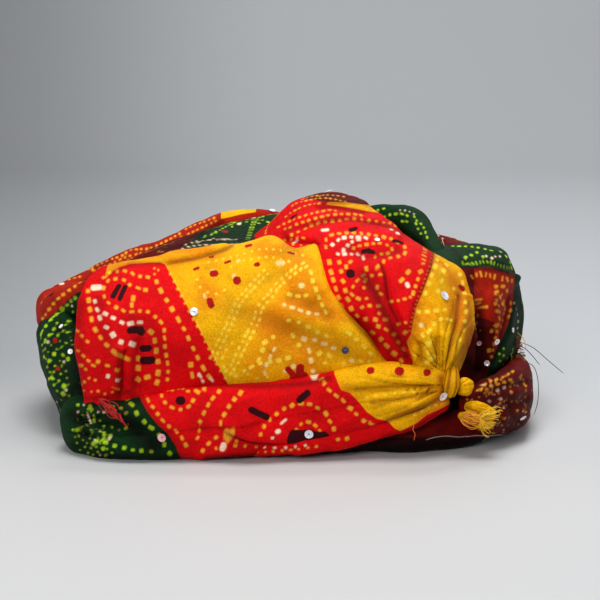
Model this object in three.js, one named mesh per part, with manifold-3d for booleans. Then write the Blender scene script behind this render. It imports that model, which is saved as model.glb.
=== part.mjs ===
// Tied turban pagri: a soft, ready-tied turban of printed cotton, lying as it rests on a table.
//
// A hollow inner cap is wrapped in layers of cloth. A rear wrap covers the left side, the back and
// the low top, a front panel is laid over the front, and a right wrap hangs down the right side.
// A brim roll runs along the front to a knot at the front right, where a full, puffed pleat, a
// crest fold and a rear fold also start, and a second roll goes on round the right side and back.
//
// Millimetres, +Z up. The origin is the middle of the footprint on the table, the front faces -Y
// and the knot is at +X.

import * as THREE from "three";
import { LoftGeometry } from "three/addons/geometries/LoftGeometry.js";
import { mergeVertices } from "three/addons/utils/BufferGeometryUtils.js";
import Module from "manifold-3d";

const wasm = await Module();
wasm.setup();

// Driving dimensions
const CLOTH = 1.6; // thickness of a doubled layer of cotton
const CAP_CLOTH = 2; // thickness of the inner cap
const GAP = 0.3; // clearance kept between layers
const MERGE = 1e-3; // points nearer than this are one point
const MIDDLE = new THREE.Vector3(0, 0, 20); // layers face away from this point
const FOOTPRINT = [-1.9, -3.5]; // middle of the footprint in the tables below, which becomes x = y = 0

// Inner cap: the clear width, depth and height inside it, which a head of 56 cm fills
const CAP = {
  halfWidth: 96,
  halfDepth: 74,
  height: 80,
  hem: 0.6, // height of its lower edge above the table
  squareness: 2.5, // exponent of its superelliptic plan
  fullness: 2.4, // exponent of its superelliptic side view
  sections: 28,
  steps: 7,
};

// Layers of cloth: a row for each section, with the points that its outside passes through, in the
// order of the named columns
const REAR_WRAP = {
  columns: ["foot", "belly", "shoulder", "top", "crown", "tuck"],
  rows: [
    [[-40, -78, 20], [-42, -79, 38], [-40, -72, 57], [-36, -62, 71], [-8, -54, 82], [20, -44, 79]],
    [[-72, -73, 6], [-74, -74, 28], [-72, -67, 52], [-64, -54, 70], [-24, -40, 83], [14, -30, 79]],
    [[-92, -64, -1], [-98, -60, 24], [-92, -52, 50], [-80, -42, 68], [-36, -24, 84], [9, -14, 79]],
    [[-103, -34, -1], [-113, -34, 22], [-105, -29, 48], [-92, -22, 64], [-42, -10, 85], [8, -4, 79]],
    [[-107, 0, -1], [-118.5, 0, 26], [-107, 2, 50], [-91, 6, 65], [-42, 4, 86], [8, 0, 79]],
    [[-102, 36, -1], [-113, 38, 28], [-99, 34, 55], [-79, 27, 70], [-36, 16, 87], [9, 4, 79]],
    [[-82, 66, -1], [-90, 70, 32], [-77, 59, 63], [-58, 43, 77], [-26, 26, 88], [10, 8, 79]],
    [[-42, 84, -1], [-46, 88, 34], [-38, 75, 70], [-28, 52, 85], [-12, 34, 89], [12, 10, 79]],
    [[0, 87, 0], [0, 92, 36], [0, 82, 73], [2, 58, 89], [6, 36, 90], [14, 10, 79]],
    [[42, 78, 16], [47, 86, 44], [43, 76, 70], [36, 54, 84], [26, 32, 88], [16, 10, 79]],
    [[78, 57, 16], [86, 65, 42], [78, 55, 62], [62, 40, 75], [40, 22, 86], [18, 6, 79]],
    [[96, 32, 18], [103, 34, 42], [97, 29, 59], [80, 19, 72], [46, 10, 85], [18, 2, 79]],
  ],
};

const FRONT_PANEL = {
  columns: ["foot", "belly", "shoulder", "rim", "tuck"],
  rows: [
    [[-86, -76, 22], [-89, -74, 50], [-87, -64, 70], [-80, -53, 77], [-73, -46, 74]],
    [[-88, -83, 20], [-91, -82, 50], [-89, -71, 72], [-82, -57, 79.5], [-74, -44, 76]],
    [[-68, -87, 24], [-67, -89, 54], [-67, -76, 75], [-68, -54, 82.5], [-63, -40, 78]],
    [[-45, -88, 26], [-45, -91, 56], [-45, -78, 76], [-46, -58, 84], [-43, -40, 80]],
    [[-20, -88, 28], [-20, -91, 58], [-20, -77, 80], [-20, -56, 89], [-18, -40, 83]],
    [[3, -88, 28], [3, -91, 58], [1, -75, 83], [0, -52, 92.5], [0, -40, 88]],
    [[27, -85, 29], [20, -89.5, 58], [14, -77, 79], [10, -56, 90.5], [8, -44, 87]],
    [[50, -83, 31], [33, -88, 60], [24, -80.5, 71], [16.5, -57.5, 89], [14, -46, 87]],
    [[56, -80, 31], [37, -83, 60], [28, -76, 70], [20, -55, 85.5], [18, -47, 83]],
  ],
};

const RIGHT_WRAP = {
  columns: ["foot", "belly", "shoulder", "rim", "tuck"],
  rows: [
    [[64, -71, 24], [65, -73, 54], [62, -62, 72], [54, -48, 79], [42, -36, 78]],
    [[79, -60, 22], [82, -59, 55], [77, -48, 75], [67, -36, 80.5], [50, -26, 79]],
    [[91, -50, 20], [92, -50, 56], [89, -40, 75], [80, -26, 82], [58, -14, 80]],
    [[103, -34, 21], [104, -34, 50], [101.5, -24, 73], [90, -6, 82], [62, 0, 80]],
    [[110, -8, 21], [114.5, -6, 47], [111.5, 2, 67], [101, 12, 78.5], [64, 14, 78]],
    [[110, 19, 21], [114.5, 22, 47], [109, 26, 64], [95, 31, 73], [60, 26, 76]],
    [[100, 45, 20], [105, 48, 45], [98, 47, 59], [82, 45, 69], [52, 38, 74]],
    [[85, 55, 20], [90, 59, 43], [84, 55, 56], [72, 50, 67], [46, 40, 74]],
  ],
};

const TOP_PUFF = {
  columns: ["left", "near", "far", "right"],
  rows: [
    [[65, -82, 36], [69, -86.5, 38.5], [73, -87, 38.5], [76, -82, 36]],
    [[46, -79, 46], [56, -88, 48], [72, -88, 48], [82, -65, 45]],
    [[24, -75, 60], [42, -87, 64], [65, -85, 67], [84, -58, 62]],
    [[8, -66, 73], [33, -77, 80], [60, -75, 83], [81, -50, 76]],
    [[0, -50, 83], [26, -57, 90], [52, -54, 93], [74, -36, 80]],
    [[-8, -28, 85], [14, -32, 96.5], [42, -28, 99], [64, -18, 82]],
    [[-14, -2, 85], [8, 2, 103], [34, 4, 105.5], [55, 0, 84]],
    [[-15, 22, 84], [6, 32, 99], [30, 32, 101], [50, 22, 82]],
    [[-8, 44, 82], [6, 57, 90], [28, 55, 90], [44, 42, 79]],
    [[-4, 54, 76], [7, 68, 80], [26, 66, 78], [40, 54, 72]],
  ],
};

// Rolls and folds: a row for each section, with its centre and its width and height across
const BRIM_ROLL = [
  { at: [-84, -46, 15], wide: 10, tall: 20 },
  { at: [-91.5, -63, 15], wide: 16, tall: 30 },
  { at: [-87, -79, 15.5], wide: 18, tall: 32 },
  { at: [-70, -87.5, 16], wide: 18, tall: 33 },
  { at: [-45, -90, 16], wide: 17, tall: 33 },
  { at: [-20, -91, 18], wide: 16, tall: 34 },
  { at: [3, -90, 22], wide: 15, tall: 27 },
  { at: [27, -88, 26], wide: 15, tall: 26 },
  { at: [42, -86, 28.5], wide: 14, tall: 23 },
  { at: [56, -86, 30.5], wide: 12, tall: 18 },
  { at: [66, -86, 31.5], wide: 10, tall: 13 },
  { at: [73, -85, 31], wide: 9, tall: 10 },
];

const RIDGE_FOLD = [
  { at: [-72, -50, 66], wide: 8, tall: 8 },
  { at: [-84, -42, 67], wide: 13, tall: 12 },
  { at: [-99, -28, 60], wide: 16, tall: 19 },
  { at: [-110, -8, 49], wide: 19, tall: 26 },
  { at: [-112, 14, 46], wide: 19, tall: 26 },
  { at: [-101, 32, 52.5], wide: 20, tall: 21 },
  { at: [-82, 45, 62], wide: 20, tall: 18 },
  { at: [-60, 54, 69.5], wide: 20, tall: 17 },
  { at: [-38, 59, 80], wide: 18, tall: 16 },
  { at: [-18, 61, 85.5], wide: 16, tall: 13 },
  { at: [4, 60, 84], wide: 12, tall: 8 },
  { at: [14, 58, 80], wide: 8, tall: 5 },
];

const UNDER_FOLD = [
  { at: [-24, -84, 4], wide: 6, tall: 6 },
  { at: [-7, -89.5, 4.5], wide: 11, tall: 9 },
  { at: [8, -90.5, 5.5], wide: 13, tall: 11 },
  { at: [27, -88, 7.5], wide: 13, tall: 13 },
  { at: [42, -86, 11], wide: 12, tall: 13 },
  { at: [56, -85.5, 16.5], wide: 11, tall: 11 },
  { at: [66, -85.5, 22.5], wide: 9, tall: 9 },
  { at: [72, -85.5, 26], wide: 7, tall: 7 },
];

const UNDER_ROLL = [
  { at: [14, -80, 8], wide: 8, tall: 12 },
  { at: [42, -79, 12], wide: 9, tall: 17 },
  { at: [64, -76, 14], wide: 10, tall: 19 },
  { at: [79, -70, 14.5], wide: 11, tall: 19 },
  { at: [90, -60, 14], wide: 10, tall: 18 },
];

const SIDE_ROLL = [
  { at: [79, -83, 28], wide: 8, tall: 10 },
  { at: [86, -77, 22], wide: 13, tall: 21 },
  { at: [95, -66, 18], wide: 16, tall: 28 },
  { at: [104.5, -48, 17.5], wide: 17, tall: 30 },
  { at: [109.5, -24, 16], wide: 16, tall: 30 },
  { at: [109.5, 5, 14], wide: 16, tall: 30 },
  { at: [105, 36, 13.5], wide: 16, tall: 29 },
  { at: [92, 60, 13], wide: 16, tall: 28 },
  { at: [66, 77, 12.5], wide: 15, tall: 27 },
  { at: [40, 83, 11.5], wide: 13, tall: 24 },
  { at: [20, 82, 8.5], wide: 9, tall: 18 },
  { at: [6, 78, 6], wide: 5, tall: 12 },
];

const CREST_FOLD = [
  { at: [77, -52, 58], wide: 8, tall: 6 },
  { at: [75, -40, 66.5], wide: 13, tall: 10 },
  { at: [71, -22, 75], wide: 17, tall: 12 },
  { at: [66, 0, 82.5], wide: 20, tall: 15 },
  { at: [57, 24, 88], wide: 21, tall: 16 },
  { at: [42, 44, 88], wide: 20, tall: 15 },
  { at: [28, 57, 82], wide: 13, tall: 9 },
  { at: [18, 62, 74], wide: 7, tall: 5 },
];

const REAR_FOLD = [
  { at: [88, -14, 74], wide: 8, tall: 6 },
  { at: [94, 6, 74.5], wide: 14, tall: 10 },
  { at: [94, 27, 72], wide: 18, tall: 12 },
  { at: [83, 46, 72], wide: 20, tall: 13 },
  { at: [66, 56, 74], wide: 18, tall: 14 },
  { at: [47, 62, 74], wide: 14, tall: 11 },
  { at: [32, 64, 67], wide: 8, tall: 6 },
];

const KNOT_LOOP = {
  at: [74, -86, 31],
  wide: 7,
  bulge: 8, // how far the band stands out to the front and the back
  halfTall: 7.5,
  thick: 3.2,
  lean: -18, // degrees from upright
  sections: 18,
};

const KNOT_TUCK = [
  { at: [77, -88, 31], wide: 5, tall: 6 },
  { at: [80, -89, 29], wide: 7, tall: 9 },
  { at: [84, -87, 27], wide: 4, tall: 6 },
];

const TAIL_LEAF = [
  { at: [80, -87, 23], wide: 3, tall: 4 },
  { at: [85, -88, 20.5], wide: 4.5, tall: 8 },
  { at: [91, -86, 17], wide: 4, tall: 7 },
];

const TAIL_FRINGE = [
  { at: [81, -84, 15.5], wide: 3, tall: 4 },
  { at: [88, -85, 12.5], wide: 5, tall: 9 },
  { at: [97, -82, 9.5], wide: 5, tall: 12 },
];

const point = (xyz) => new THREE.Vector3(...xyz);

// A smooth curve through the points, the same one wherever it is used
const curve = (points) => new THREE.CatmullRomCurve3(points, false, "catmullrom", 0.5);

// Rings joined into a closed skin; they are turned round where they would face inwards
function loft(rings, capped = true) {
  const sumOf = (points) => points.reduce((sum, p) => sum.add(p), new THREE.Vector3());
  const ring = rings[1];
  const area = sumOf(ring.map((p, i) => p.clone().cross(ring[(i + 1) % ring.length])));
  const onward = sumOf(rings[2]).sub(sumOf(ring));
  const facing = area.dot(onward) < 0 ? rings.map((ring) => [...ring].reverse()) : rings;
  return new LoftGeometry(facing, { closed: true, capStart: capped, capEnd: capped });
}

// The outside of a layer of cloth on a grid, with the direction out of the cloth at each point and
// the direction that leads off the cloth at its edges
function layerGrid({ rows }, along, up) {
  const sections = rows.map((row) => curve(row.map(point)).getPoints(up));
  const outside = [];
  for (let j = 0; j <= up; j++) {
    outside.push(curve(sections.map((section) => section[j])).getPoints(along));
  }
  const between = (from, to) => to.clone().sub(from).normalize();
  const outward = outside.map((line, j) =>
    line.map((p, i) => {
      const across = between(line[Math.max(i - 1, 0)], line[Math.min(i + 1, along)]);
      const upward = between(outside[Math.max(j - 1, 0)][i], outside[Math.min(j + 1, up)][i]);
      const normal = across.cross(upward).normalize();
      return normal.dot(between(MIDDLE, p)) < 0 ? normal.negate() : normal;
    }),
  );
  const offEdge = outside.map((line, j) =>
    line.map((p, i) => {
      const off = new THREE.Vector3();
      if (i === 0) off.add(between(line[1], p));
      if (i === along) off.add(between(line[along - 1], p));
      if (j === 0) off.add(between(outside[1][i], p));
      if (j === up) off.add(between(outside[up - 1][i], p));
      return off;
    }),
  );
  return { outside, outward, offEdge };
}

// A layer of cloth as a closed shell, inside the surface through its rows; grow widens it each way
function layer(net, along, up, grow = 0) {
  const { outside, outward, offEdge } = layerGrid(net, along, up);
  const at = (i, j, depth) =>
    outside[j][i].clone().addScaledVector(outward[j][i], -depth).addScaledVector(offEdge[j][i], grow);
  const rings = [];
  for (let i = 0; i <= along; i++) {
    const outer = outside.map((_, j) => at(i, j, -grow));
    const inner = outside.map((_, j) => at(i, j, CLOTH + grow)).reverse();
    rings.push([...outer, ...inner]);
  }
  // Each end is closed by a ring that is folded flat onto the middle of the cloth
  const folded = (ring) => ring.map((p, k) => p.clone().lerp(ring[ring.length - 1 - k], 0.5));
  const closedRings = [folded(rings[0]), ...rings, folded(rings[along])];
  closedRings.forEach((ring) => ring.forEach((p) => (p.z = Math.max(p.z, 0))));
  return loft(closedRings, false);
}

// A roll of cloth: superelliptic sections along a curve, flat where it lies on the table. A section
// has a flat side at its top and bottom, and reaches the whole width and height of its row.
function roll(rows, along, around, grow = 0) {
  const spine = curve(rows.map((row) => point(row.at)));
  const sizes = curve(rows.map((row) => new THREE.Vector3(row.wide, row.tall, 0)));
  const squareness = 0.85;
  const round = (x) => Math.sign(x) * Math.abs(x) ** squareness;
  const reach = 0.5 / round(Math.cos(Math.PI / around));
  const rings = [];
  for (let i = 0; i <= along; i++) {
    const centre = spine.getPoint(i / along);
    const size = sizes.getPoint(i / along);
    const forward = spine.getTangent(i / along);
    if (i === 0) centre.addScaledVector(forward, -grow);
    if (i === along) centre.addScaledVector(forward, grow);
    const side = new THREE.Vector3().crossVectors(forward, new THREE.Vector3(0, 0, 1)).normalize();
    const upward = new THREE.Vector3().crossVectors(side, forward);
    const ring = [];
    for (let k = 0; k < around; k++) {
      const turn = (2 * Math.PI * (k + 0.5)) / around;
      ring.push(
        centre
          .clone()
          .addScaledVector(side, (size.x * reach + grow) * round(Math.cos(turn)))
          .addScaledVector(upward, (size.y * reach + grow) * round(Math.sin(turn))),
      );
    }
    ring.forEach((p) => (p.z = Math.max(p.z, 0)));
    rings.push(ring);
  }
  return loft(rings);
}

// The inner cap: a superelliptic dome, closed at the top and open below
function cap(grow = 0) {
  const power = (x, p) => Math.sign(x) * Math.abs(x) ** p;
  const profile = (offset) => {
    const points = [];
    for (let j = 0; j <= CAP.steps; j++) {
      const rise = (Math.PI / 2) * (j / CAP.steps);
      const share = power(Math.cos(rise), 2 / CAP.fullness);
      const height = power(Math.sin(rise), 2 / CAP.fullness);
      points.push({ share, height, offset });
    }
    return points;
  };
  const section = [...profile(CAP_CLOTH + grow), ...profile(-grow).reverse()];
  const rings = [];
  for (let i = 0; i <= CAP.sections; i++) {
    const turn = 2 * Math.PI * ((i % CAP.sections) / CAP.sections);
    rings.push(
      section.map(({ share, height, offset }) => {
        const reach = (half) => (share < 1e-9 ? 0 : (half + offset) * share);
        return new THREE.Vector3(
          reach(CAP.halfWidth) * power(Math.cos(turn), 2 / CAP.squareness),
          reach(CAP.halfDepth) * power(Math.sin(turn), 2 / CAP.squareness),
          CAP.hem + (CAP.height - CAP.hem + offset) * height,
        );
      }),
    );
  }
  return loft(rings, false);
}

// The loop of cloth that crosses the knot: a flat band bent round the gathered ends
function knotLoop({ at, wide, bulge, halfTall, thick, lean, sections }, grow = 0) {
  const rings = [];
  for (let i = 0; i <= sections; i++) {
    const turn = 2 * Math.PI * ((i % sections) / sections);
    const ring = [];
    for (const [across, depth] of [[-1, -1], [-0.5, 1], [0.5, 1], [1, -1]]) {
      const swell = (depth * (thick + 2 * grow)) / 2;
      ring.push(
        new THREE.Vector3(
          across * (wide / 2 + grow),
          -(bulge + swell) * Math.cos(turn),
          (halfTall + swell) * Math.sin(turn),
        )
          .applyAxisAngle(new THREE.Vector3(0, 1, 0), THREE.MathUtils.degToRad(lean))
          .add(point(at)),
      );
    }
    rings.push(ring);
  }
  return loft(rings, false);
}

// A geometry as a solid that can be cut
function solidOf(geometry) {
  const bare = new THREE.BufferGeometry().copy(geometry);
  bare.deleteAttribute("normal");
  bare.deleteAttribute("uv");
  const merged = mergeVertices(bare, MERGE);
  const corners = merged.index.array;
  const triVerts = [];
  for (let i = 0; i < corners.length; i += 3) {
    const [a, b, c] = corners.slice(i, i + 3);
    if (a !== b && b !== c && c !== a) triVerts.push(a, b, c);
  }
  const mesh = new wasm.Mesh({
    numProp: 3,
    vertProperties: merged.attributes.position.array,
    triVerts: new Uint32Array(triVerts),
  });
  return new wasm.Manifold(mesh);
}

// A solid as a geometry, its largest body only
function geometryOf(solid) {
  const [largest] = solid.decompose().sort((a, b) => b.volume() - a.volume());
  const mesh = largest.getMesh();
  return new THREE.BufferGeometry()
    .setAttribute("position", new THREE.BufferAttribute(mesh.vertProperties, 3))
    .setIndex(new THREE.BufferAttribute(mesh.triVerts, 1));
}

const RED = { color: 0xc4050c, roughness: 0.85, metalness: 0 };
const YELLOW = { color: 0xf0a30c, roughness: 0.85, metalness: 0 };
const GREEN = { color: 0x07391c, roughness: 0.85, metalness: 0 };
const MAROON = { color: 0x5e0b08, roughness: 0.85, metalness: 0 };

// Each piece with a function that makes it, plain or grown. A piece gives way to those above it.
const PIECES = [
  { name: "inner_cap", look: MAROON, make: (grow) => cap(grow) },
  { name: "knot_loop", look: YELLOW, make: (grow) => knotLoop(KNOT_LOOP, 2 * grow) },
  { name: "knot_tuck", look: YELLOW, make: (grow) => roll(KNOT_TUCK, 5, 6, grow) },
  { name: "brim_roll", look: RED, make: (grow) => roll(BRIM_ROLL, 24, 8, grow) },
  { name: "under_fold", look: RED, make: (grow) => roll(UNDER_FOLD, 14, 8, grow) },
  { name: "side_roll", look: MAROON, make: (grow) => roll(SIDE_ROLL, 26, 8, grow) },
  { name: "under_roll", look: RED, make: (grow) => roll(UNDER_ROLL, 8, 6, grow) },
  { name: "rear_wrap", look: GREEN, make: (grow) => layer(REAR_WRAP, 22, 10, grow) },
  { name: "right_wrap", look: GREEN, make: (grow) => layer(RIGHT_WRAP, 12, 9, grow) },
  { name: "ridge_fold", look: MAROON, make: (grow) => roll(RIDGE_FOLD, 22, 8, grow) },
  { name: "rear_fold", look: MAROON, make: (grow) => roll(REAR_FOLD, 12, 8, grow) },
  { name: "top_puff", look: RED, make: (grow) => layer(TOP_PUFF, 16, 10, grow) },
  { name: "crest_fold", look: GREEN, make: (grow) => roll(CREST_FOLD, 14, 8, grow) },
  { name: "front_panel", look: YELLOW, make: (grow) => layer(FRONT_PANEL, 16, 10, grow) },
  { name: "tail_leaf", look: YELLOW, make: (grow) => roll(TAIL_LEAF, 5, 6, grow) },
  { name: "tail_fringe", look: YELLOW, make: (grow) => roll(TAIL_FRINGE, 5, 6, grow) },
];

const pagri = new THREE.Group();
const [middleX, middleY] = FOOTPRINT;
const placed = [];
for (const { name, look, make } of PIECES) {
  let solid = solidOf(make(0));
  for (const above of placed) solid = solid.subtract(above);
  placed.push(solidOf(make(GAP)));
  const geometry = geometryOf(solid).translate(-middleX, -middleY, 0);
  const mesh = new THREE.Mesh(geometry, new THREE.MeshStandardMaterial(look));
  mesh.name = name;
  pagri.add(mesh);
}

export default pagri;
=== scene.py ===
import math

import bpy
import numpy as np
from bpy.props import FloatProperty, FloatVectorProperty, PointerProperty
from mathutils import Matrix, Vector


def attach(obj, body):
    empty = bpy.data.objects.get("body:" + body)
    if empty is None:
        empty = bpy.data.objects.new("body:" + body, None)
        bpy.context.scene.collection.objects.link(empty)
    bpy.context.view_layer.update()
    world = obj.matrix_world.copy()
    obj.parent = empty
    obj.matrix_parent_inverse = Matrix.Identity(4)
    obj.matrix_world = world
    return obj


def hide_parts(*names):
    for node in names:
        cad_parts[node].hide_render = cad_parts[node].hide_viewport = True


bl_info = {
    "name": "Tied turban pagri",
    "version": (1, 0, 0),
    "blender": (4, 5, 0),
    "location": "3D View > Sidebar > Pagri",
    "description": "Makes the wrapped, puffed and knotted cloth of a ready-tied turban, and its print",
    "category": "Object",
}

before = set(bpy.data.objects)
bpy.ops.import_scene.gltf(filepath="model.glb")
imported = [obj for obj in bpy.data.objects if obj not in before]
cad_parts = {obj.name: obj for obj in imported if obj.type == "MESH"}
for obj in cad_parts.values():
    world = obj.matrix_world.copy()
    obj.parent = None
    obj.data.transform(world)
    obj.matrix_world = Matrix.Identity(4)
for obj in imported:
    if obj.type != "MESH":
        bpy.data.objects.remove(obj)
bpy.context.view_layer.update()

MM = 0.001
FOOTPRINT = np.array([-1.9, -3.5, 0.0])  # middle of the footprint in the tables, in millimetres
MIDDLE = np.array([1.9, 3.5, 20.0]) * MM  # layers of cloth face away from this point
SQUARENESS = 0.85  # exponent of the cosine and sine of a roll's section
ROLL_END = 0.3  # length of a roll's rounded end, as a share of its mean width and height
LEAST_HEIGHT = 0.3 * MM  # how high the threads stay above the table

# Camera: it looks at the target along +Y from a little above, as far away as the lens needs
CAMERA_TARGET = np.array([0.0089, 0.0035, 0.0548])
CAMERA_ELEVATION = math.radians(10)
CAMERA_DISTANCE = 0.810
CAMERA_LENS = 100
SENSOR = 36
CAMERA_BACK = np.array([0, -math.cos(CAMERA_ELEVATION), math.sin(CAMERA_ELEVATION)])
CAMERA_UP = np.array([0, math.sin(CAMERA_ELEVATION), math.cos(CAMERA_ELEVATION)])
CAMERA_PLACE = CAMERA_TARGET + CAMERA_BACK * CAMERA_DISTANCE
VIEW_SIZE = 600  # side of the front view, the units of all points that are given across and down
VIEW_UNIT = 0.485 * MM  # size of one such unit at the middle of the turban

# Layers of cloth, in millimetres: a row for each section, with the points that its outside passes
# through, in the order of the named columns
REAR_WRAP = {
    "columns": ["foot", "belly", "shoulder", "top", "crown", "tuck"],
    "rows": [
        [(-40, -78, 20), (-42, -79, 38), (-40, -72, 57), (-36, -62, 71), (-8, -54, 82), (20, -44, 79)],
        [(-72, -73, 6), (-74, -74, 28), (-72, -67, 52), (-64, -54, 70), (-24, -40, 83), (14, -30, 79)],
        [(-94, -64, -1), (-99, -60, 24), (-95, -52, 50), (-80, -42, 68), (-36, -24, 84), (9, -14, 79)],
        [(-103, -34, -1), (-113, -34, 26), (-112, -29, 48), (-92, -22, 64), (-42, -10, 85), (8, -4, 79)],
        [(-107, 0, -1), (-119, 0, 32), (-116, 2, 50), (-91, 6, 65), (-42, 4, 86), (8, 0, 79)],
        [(-102, 36, -1), (-113, 38, 30), (-102, 34, 55), (-79, 27, 70), (-36, 16, 87), (9, 4, 79)],
        [(-82, 66, -1), (-90, 70, 32), (-77, 59, 63), (-58, 43, 77), (-26, 26, 88), (10, 8, 79)],
        [(-42, 84, -1), (-46, 88, 34), (-38, 75, 70), (-28, 52, 85), (-12, 34, 89), (12, 10, 79)],
        [(0, 87, 0), (0, 92, 36), (0, 82, 73), (2, 58, 89), (6, 36, 90), (14, 10, 79)],
        [(42, 78, 16), (47, 86, 44), (43, 76, 70), (36, 54, 84), (26, 32, 88), (16, 10, 79)],
        [(78, 57, 16), (86, 65, 42), (78, 55, 62), (62, 40, 75), (40, 22, 86), (18, 6, 79)],
        [(96, 32, 18), (103, 34, 42), (97, 29, 59), (80, 19, 72), (46, 10, 85), (18, 2, 79)],
    ],
}

FRONT_PANEL = {
    "columns": ["foot", "belly", "shoulder", "rim", "tuck"],
    "rows": [
        [(-79, -71, 25), (-81, -66, 50), (-79, -57, 69), (-76, -50, 74), (-73, -42, 70)],
        [(-88, -83, 23), (-91, -82, 50), (-89, -71, 72), (-82, -57, 79.5), (-74, -40, 71.5)],
        [(-68, -87, 24), (-67, -89, 54), (-67, -76, 75), (-68, -54, 82.5), (-64, -35, 73.5)],
        [(-45, -88, 26), (-45, -91, 56), (-45, -78, 76), (-46, -58, 87.2), (-44, -34, 77)],
        [(-20, -88, 28), (-20, -91, 58), (-20, -77, 80), (-20, -56, 90.2), (-20, -34, 81)],
        [(3, -88, 28), (2, -91, 58), (-3, -75, 83), (-5.5, -54, 93.5), (-6, -36, 84.5)],
        [(27, -85, 29), (17, -89.5, 58), (8, -78, 79), (4.5, -59, 88), (4, -46, 86)],
        [(50, -84, 31), (28, -88, 60), (19, -80, 72), (14.2, -57.5, 89.6), (12, -46, 87)],
        [(56, -81, 31), (31.5, -83, 60), (22.5, -76, 70.5), (15.5, -55, 87), (13, -47, 84)],
    ],
}

RIGHT_WRAP = {
    "columns": ["foot", "belly", "shoulder", "rim", "tuck"],
    "rows": [
        [(64, -71, 24), (65, -73, 54), (62, -62, 72), (54, -48, 79), (42, -36, 78)],
        [(79, -60, 22), (82, -59, 55), (77, -48, 75), (67, -36, 80.5), (50, -26, 79)],
        [(91, -50, 20), (92, -50, 56), (89, -40, 75), (80, -26, 82), (58, -14, 80)],
        [(103, -34, 21), (104, -34, 50), (102, -23, 75.5), (90.5, -6, 82.5), (62, 0, 80)],
        [(110, -8, 21), (114.5, -6, 47), (110.5, 2, 71), (101.5, 12, 79.5), (64, 14, 78)],
        [(110, 19, 21), (114.5, 22, 47), (109, 26, 64), (95, 31, 73), (60, 26, 76)],
        [(100, 45, 20), (105, 48, 45), (98, 47, 59), (82, 45, 69), (52, 38, 74)],
        [(85, 55, 20), (90, 59, 43), (84, 55, 56), (72, 50, 67), (46, 40, 74)],
    ],
}

TOP_PUFF = {
    "columns": ["left", "near", "far", "right"],
    "rows": [
        [(45, -80, 37), (54, -86, 38.5), (70, -87.5, 38.5), (76, -82, 36)],
        [(33, -78, 48), (50, -88, 49), (72, -88.5, 49), (83, -66, 46)],
        [(20, -75, 61), (40, -87, 64), (66, -86, 67), (85, -59, 62)],
        [(8, -66, 73), (33, -77, 80), (60, -75, 83), (81, -50, 76)],
        [(0, -50, 83), (26, -57, 90), (52, -54, 93), (74, -36, 80)],
        [(-8, -28, 85), (14, -32, 96.5), (42, -28, 99), (64, -18, 82)],
        [(-14, -2, 85), (8, 2, 103), (34, 4, 104), (55, 0, 84)],
        [(-15, 22, 84), (6, 32, 99), (30, 32, 101), (50, 22, 82)],
        [(-8, 44, 82), (6, 57, 90), (28, 55, 90), (44, 42, 79)],
        [(-4, 54, 76), (7, 68, 80), (26, 66, 78), (40, 54, 72)],
    ],
}

# Rolls and folds, in millimetres: for each section its centre, its width and its height
BRIM_ROLL = [
    (-86, -46, 8.5, 9, 15), (-91, -61, 10.5, 15, 22), (-88, -77, 11, 20, 25.5),
    (-70, -87.5, 12.5, 18, 26), (-45, -90, 15.5, 17, 31), (-20, -91, 18, 16, 33), (3, -90, 22, 15, 28),
    (27, -88, 26, 15, 27), (42, -86.5, 28.5, 14, 27.5), (52, -86.5, 28.5, 13, 27), (60, -87, 31, 12, 22),
    (67, -87, 33, 10, 16.5), (73, -86, 34.5, 8, 10),
]
RIDGE_FOLD = [
    (-72, -50, 66, 8, 8), (-84, -42, 66.5, 13, 12), (-99, -28, 58, 15, 16), (-111, -8, 49.5, 17, 20),
    (-112, 14, 49, 17, 20), (-101, 32, 52.5, 20, 21), (-82, 45, 62, 20, 18), (-60, 54, 69.5, 20, 17),
    (-38, 59, 80, 18, 16), (-18, 61, 85.5, 16, 13), (4, 60, 84, 12, 8), (14, 58, 80, 8, 5),
]
UNDER_FOLD = [
    (-24, -84, 4, 6, 6), (-7, -89, 5.5, 11, 9), (8, -90, 7.5, 13, 11), (27, -88, 10.5, 13, 12),
    (42, -86, 14, 12, 12), (56, -85.5, 18, 11, 11), (66, -85.5, 23, 9, 9), (72, -85.5, 26, 7, 7),
]
UNDER_ROLL = [
    (14, -80.5, 6, 8, 10), (42, -79, 7.5, 9, 14), (64, -78, 8.5, 10, 16), (79, -71, 9, 11, 17),
    (90, -60, 9.5, 10, 17),
]
SIDE_ROLL = [
    (79, -83, 26, 8, 12), (86, -78, 21.5, 13, 22), (95, -67, 18.5, 16, 27), (104.5, -48, 17, 17, 29),
    (109.5, -24, 16, 16, 30), (109.5, 5, 14, 16, 30), (105, 36, 13.5, 16, 29), (92, 60, 13, 16, 28),
    (66, 77, 12.5, 15, 27), (40, 83, 11.5, 13, 24), (20, 82, 8.5, 9, 18), (6, 78, 6, 5, 12),
]
CREST_FOLD = [
    (74.5, -40, 64, 4, 4), (73, -29, 71.5, 6, 6), (71.5, -13, 79.5, 9, 8), (66.5, 6, 85.5, 13, 12),
    (59, 26, 89.5, 18, 16), (42, 44, 88, 20, 15), (28, 57, 82, 13, 9), (18, 62, 74, 7, 5),
]
REAR_FOLD = [
    (88, -14, 74, 8, 6), (94, 6, 74.5, 14, 10), (94, 27, 72, 18, 12), (83, 46, 72, 20, 13),
    (66, 56, 74, 18, 14), (47, 62, 74, 14, 11), (32, 64, 67, 8, 6),
]
KNOT_TUCK = [
    (76, -87, 33, 5, 6), (79, -88.5, 32, 7, 8.5), (82.5, -87, 30.5, 4, 6),
]
TAIL_LEAF = [
    (79, -87, 23, 2, 3), (84, -88, 21.8, 3, 6.5), (89, -87.4, 19.6, 3, 6.5), (92.5, -86.4, 18.2, 2, 4.4),
]
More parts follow.
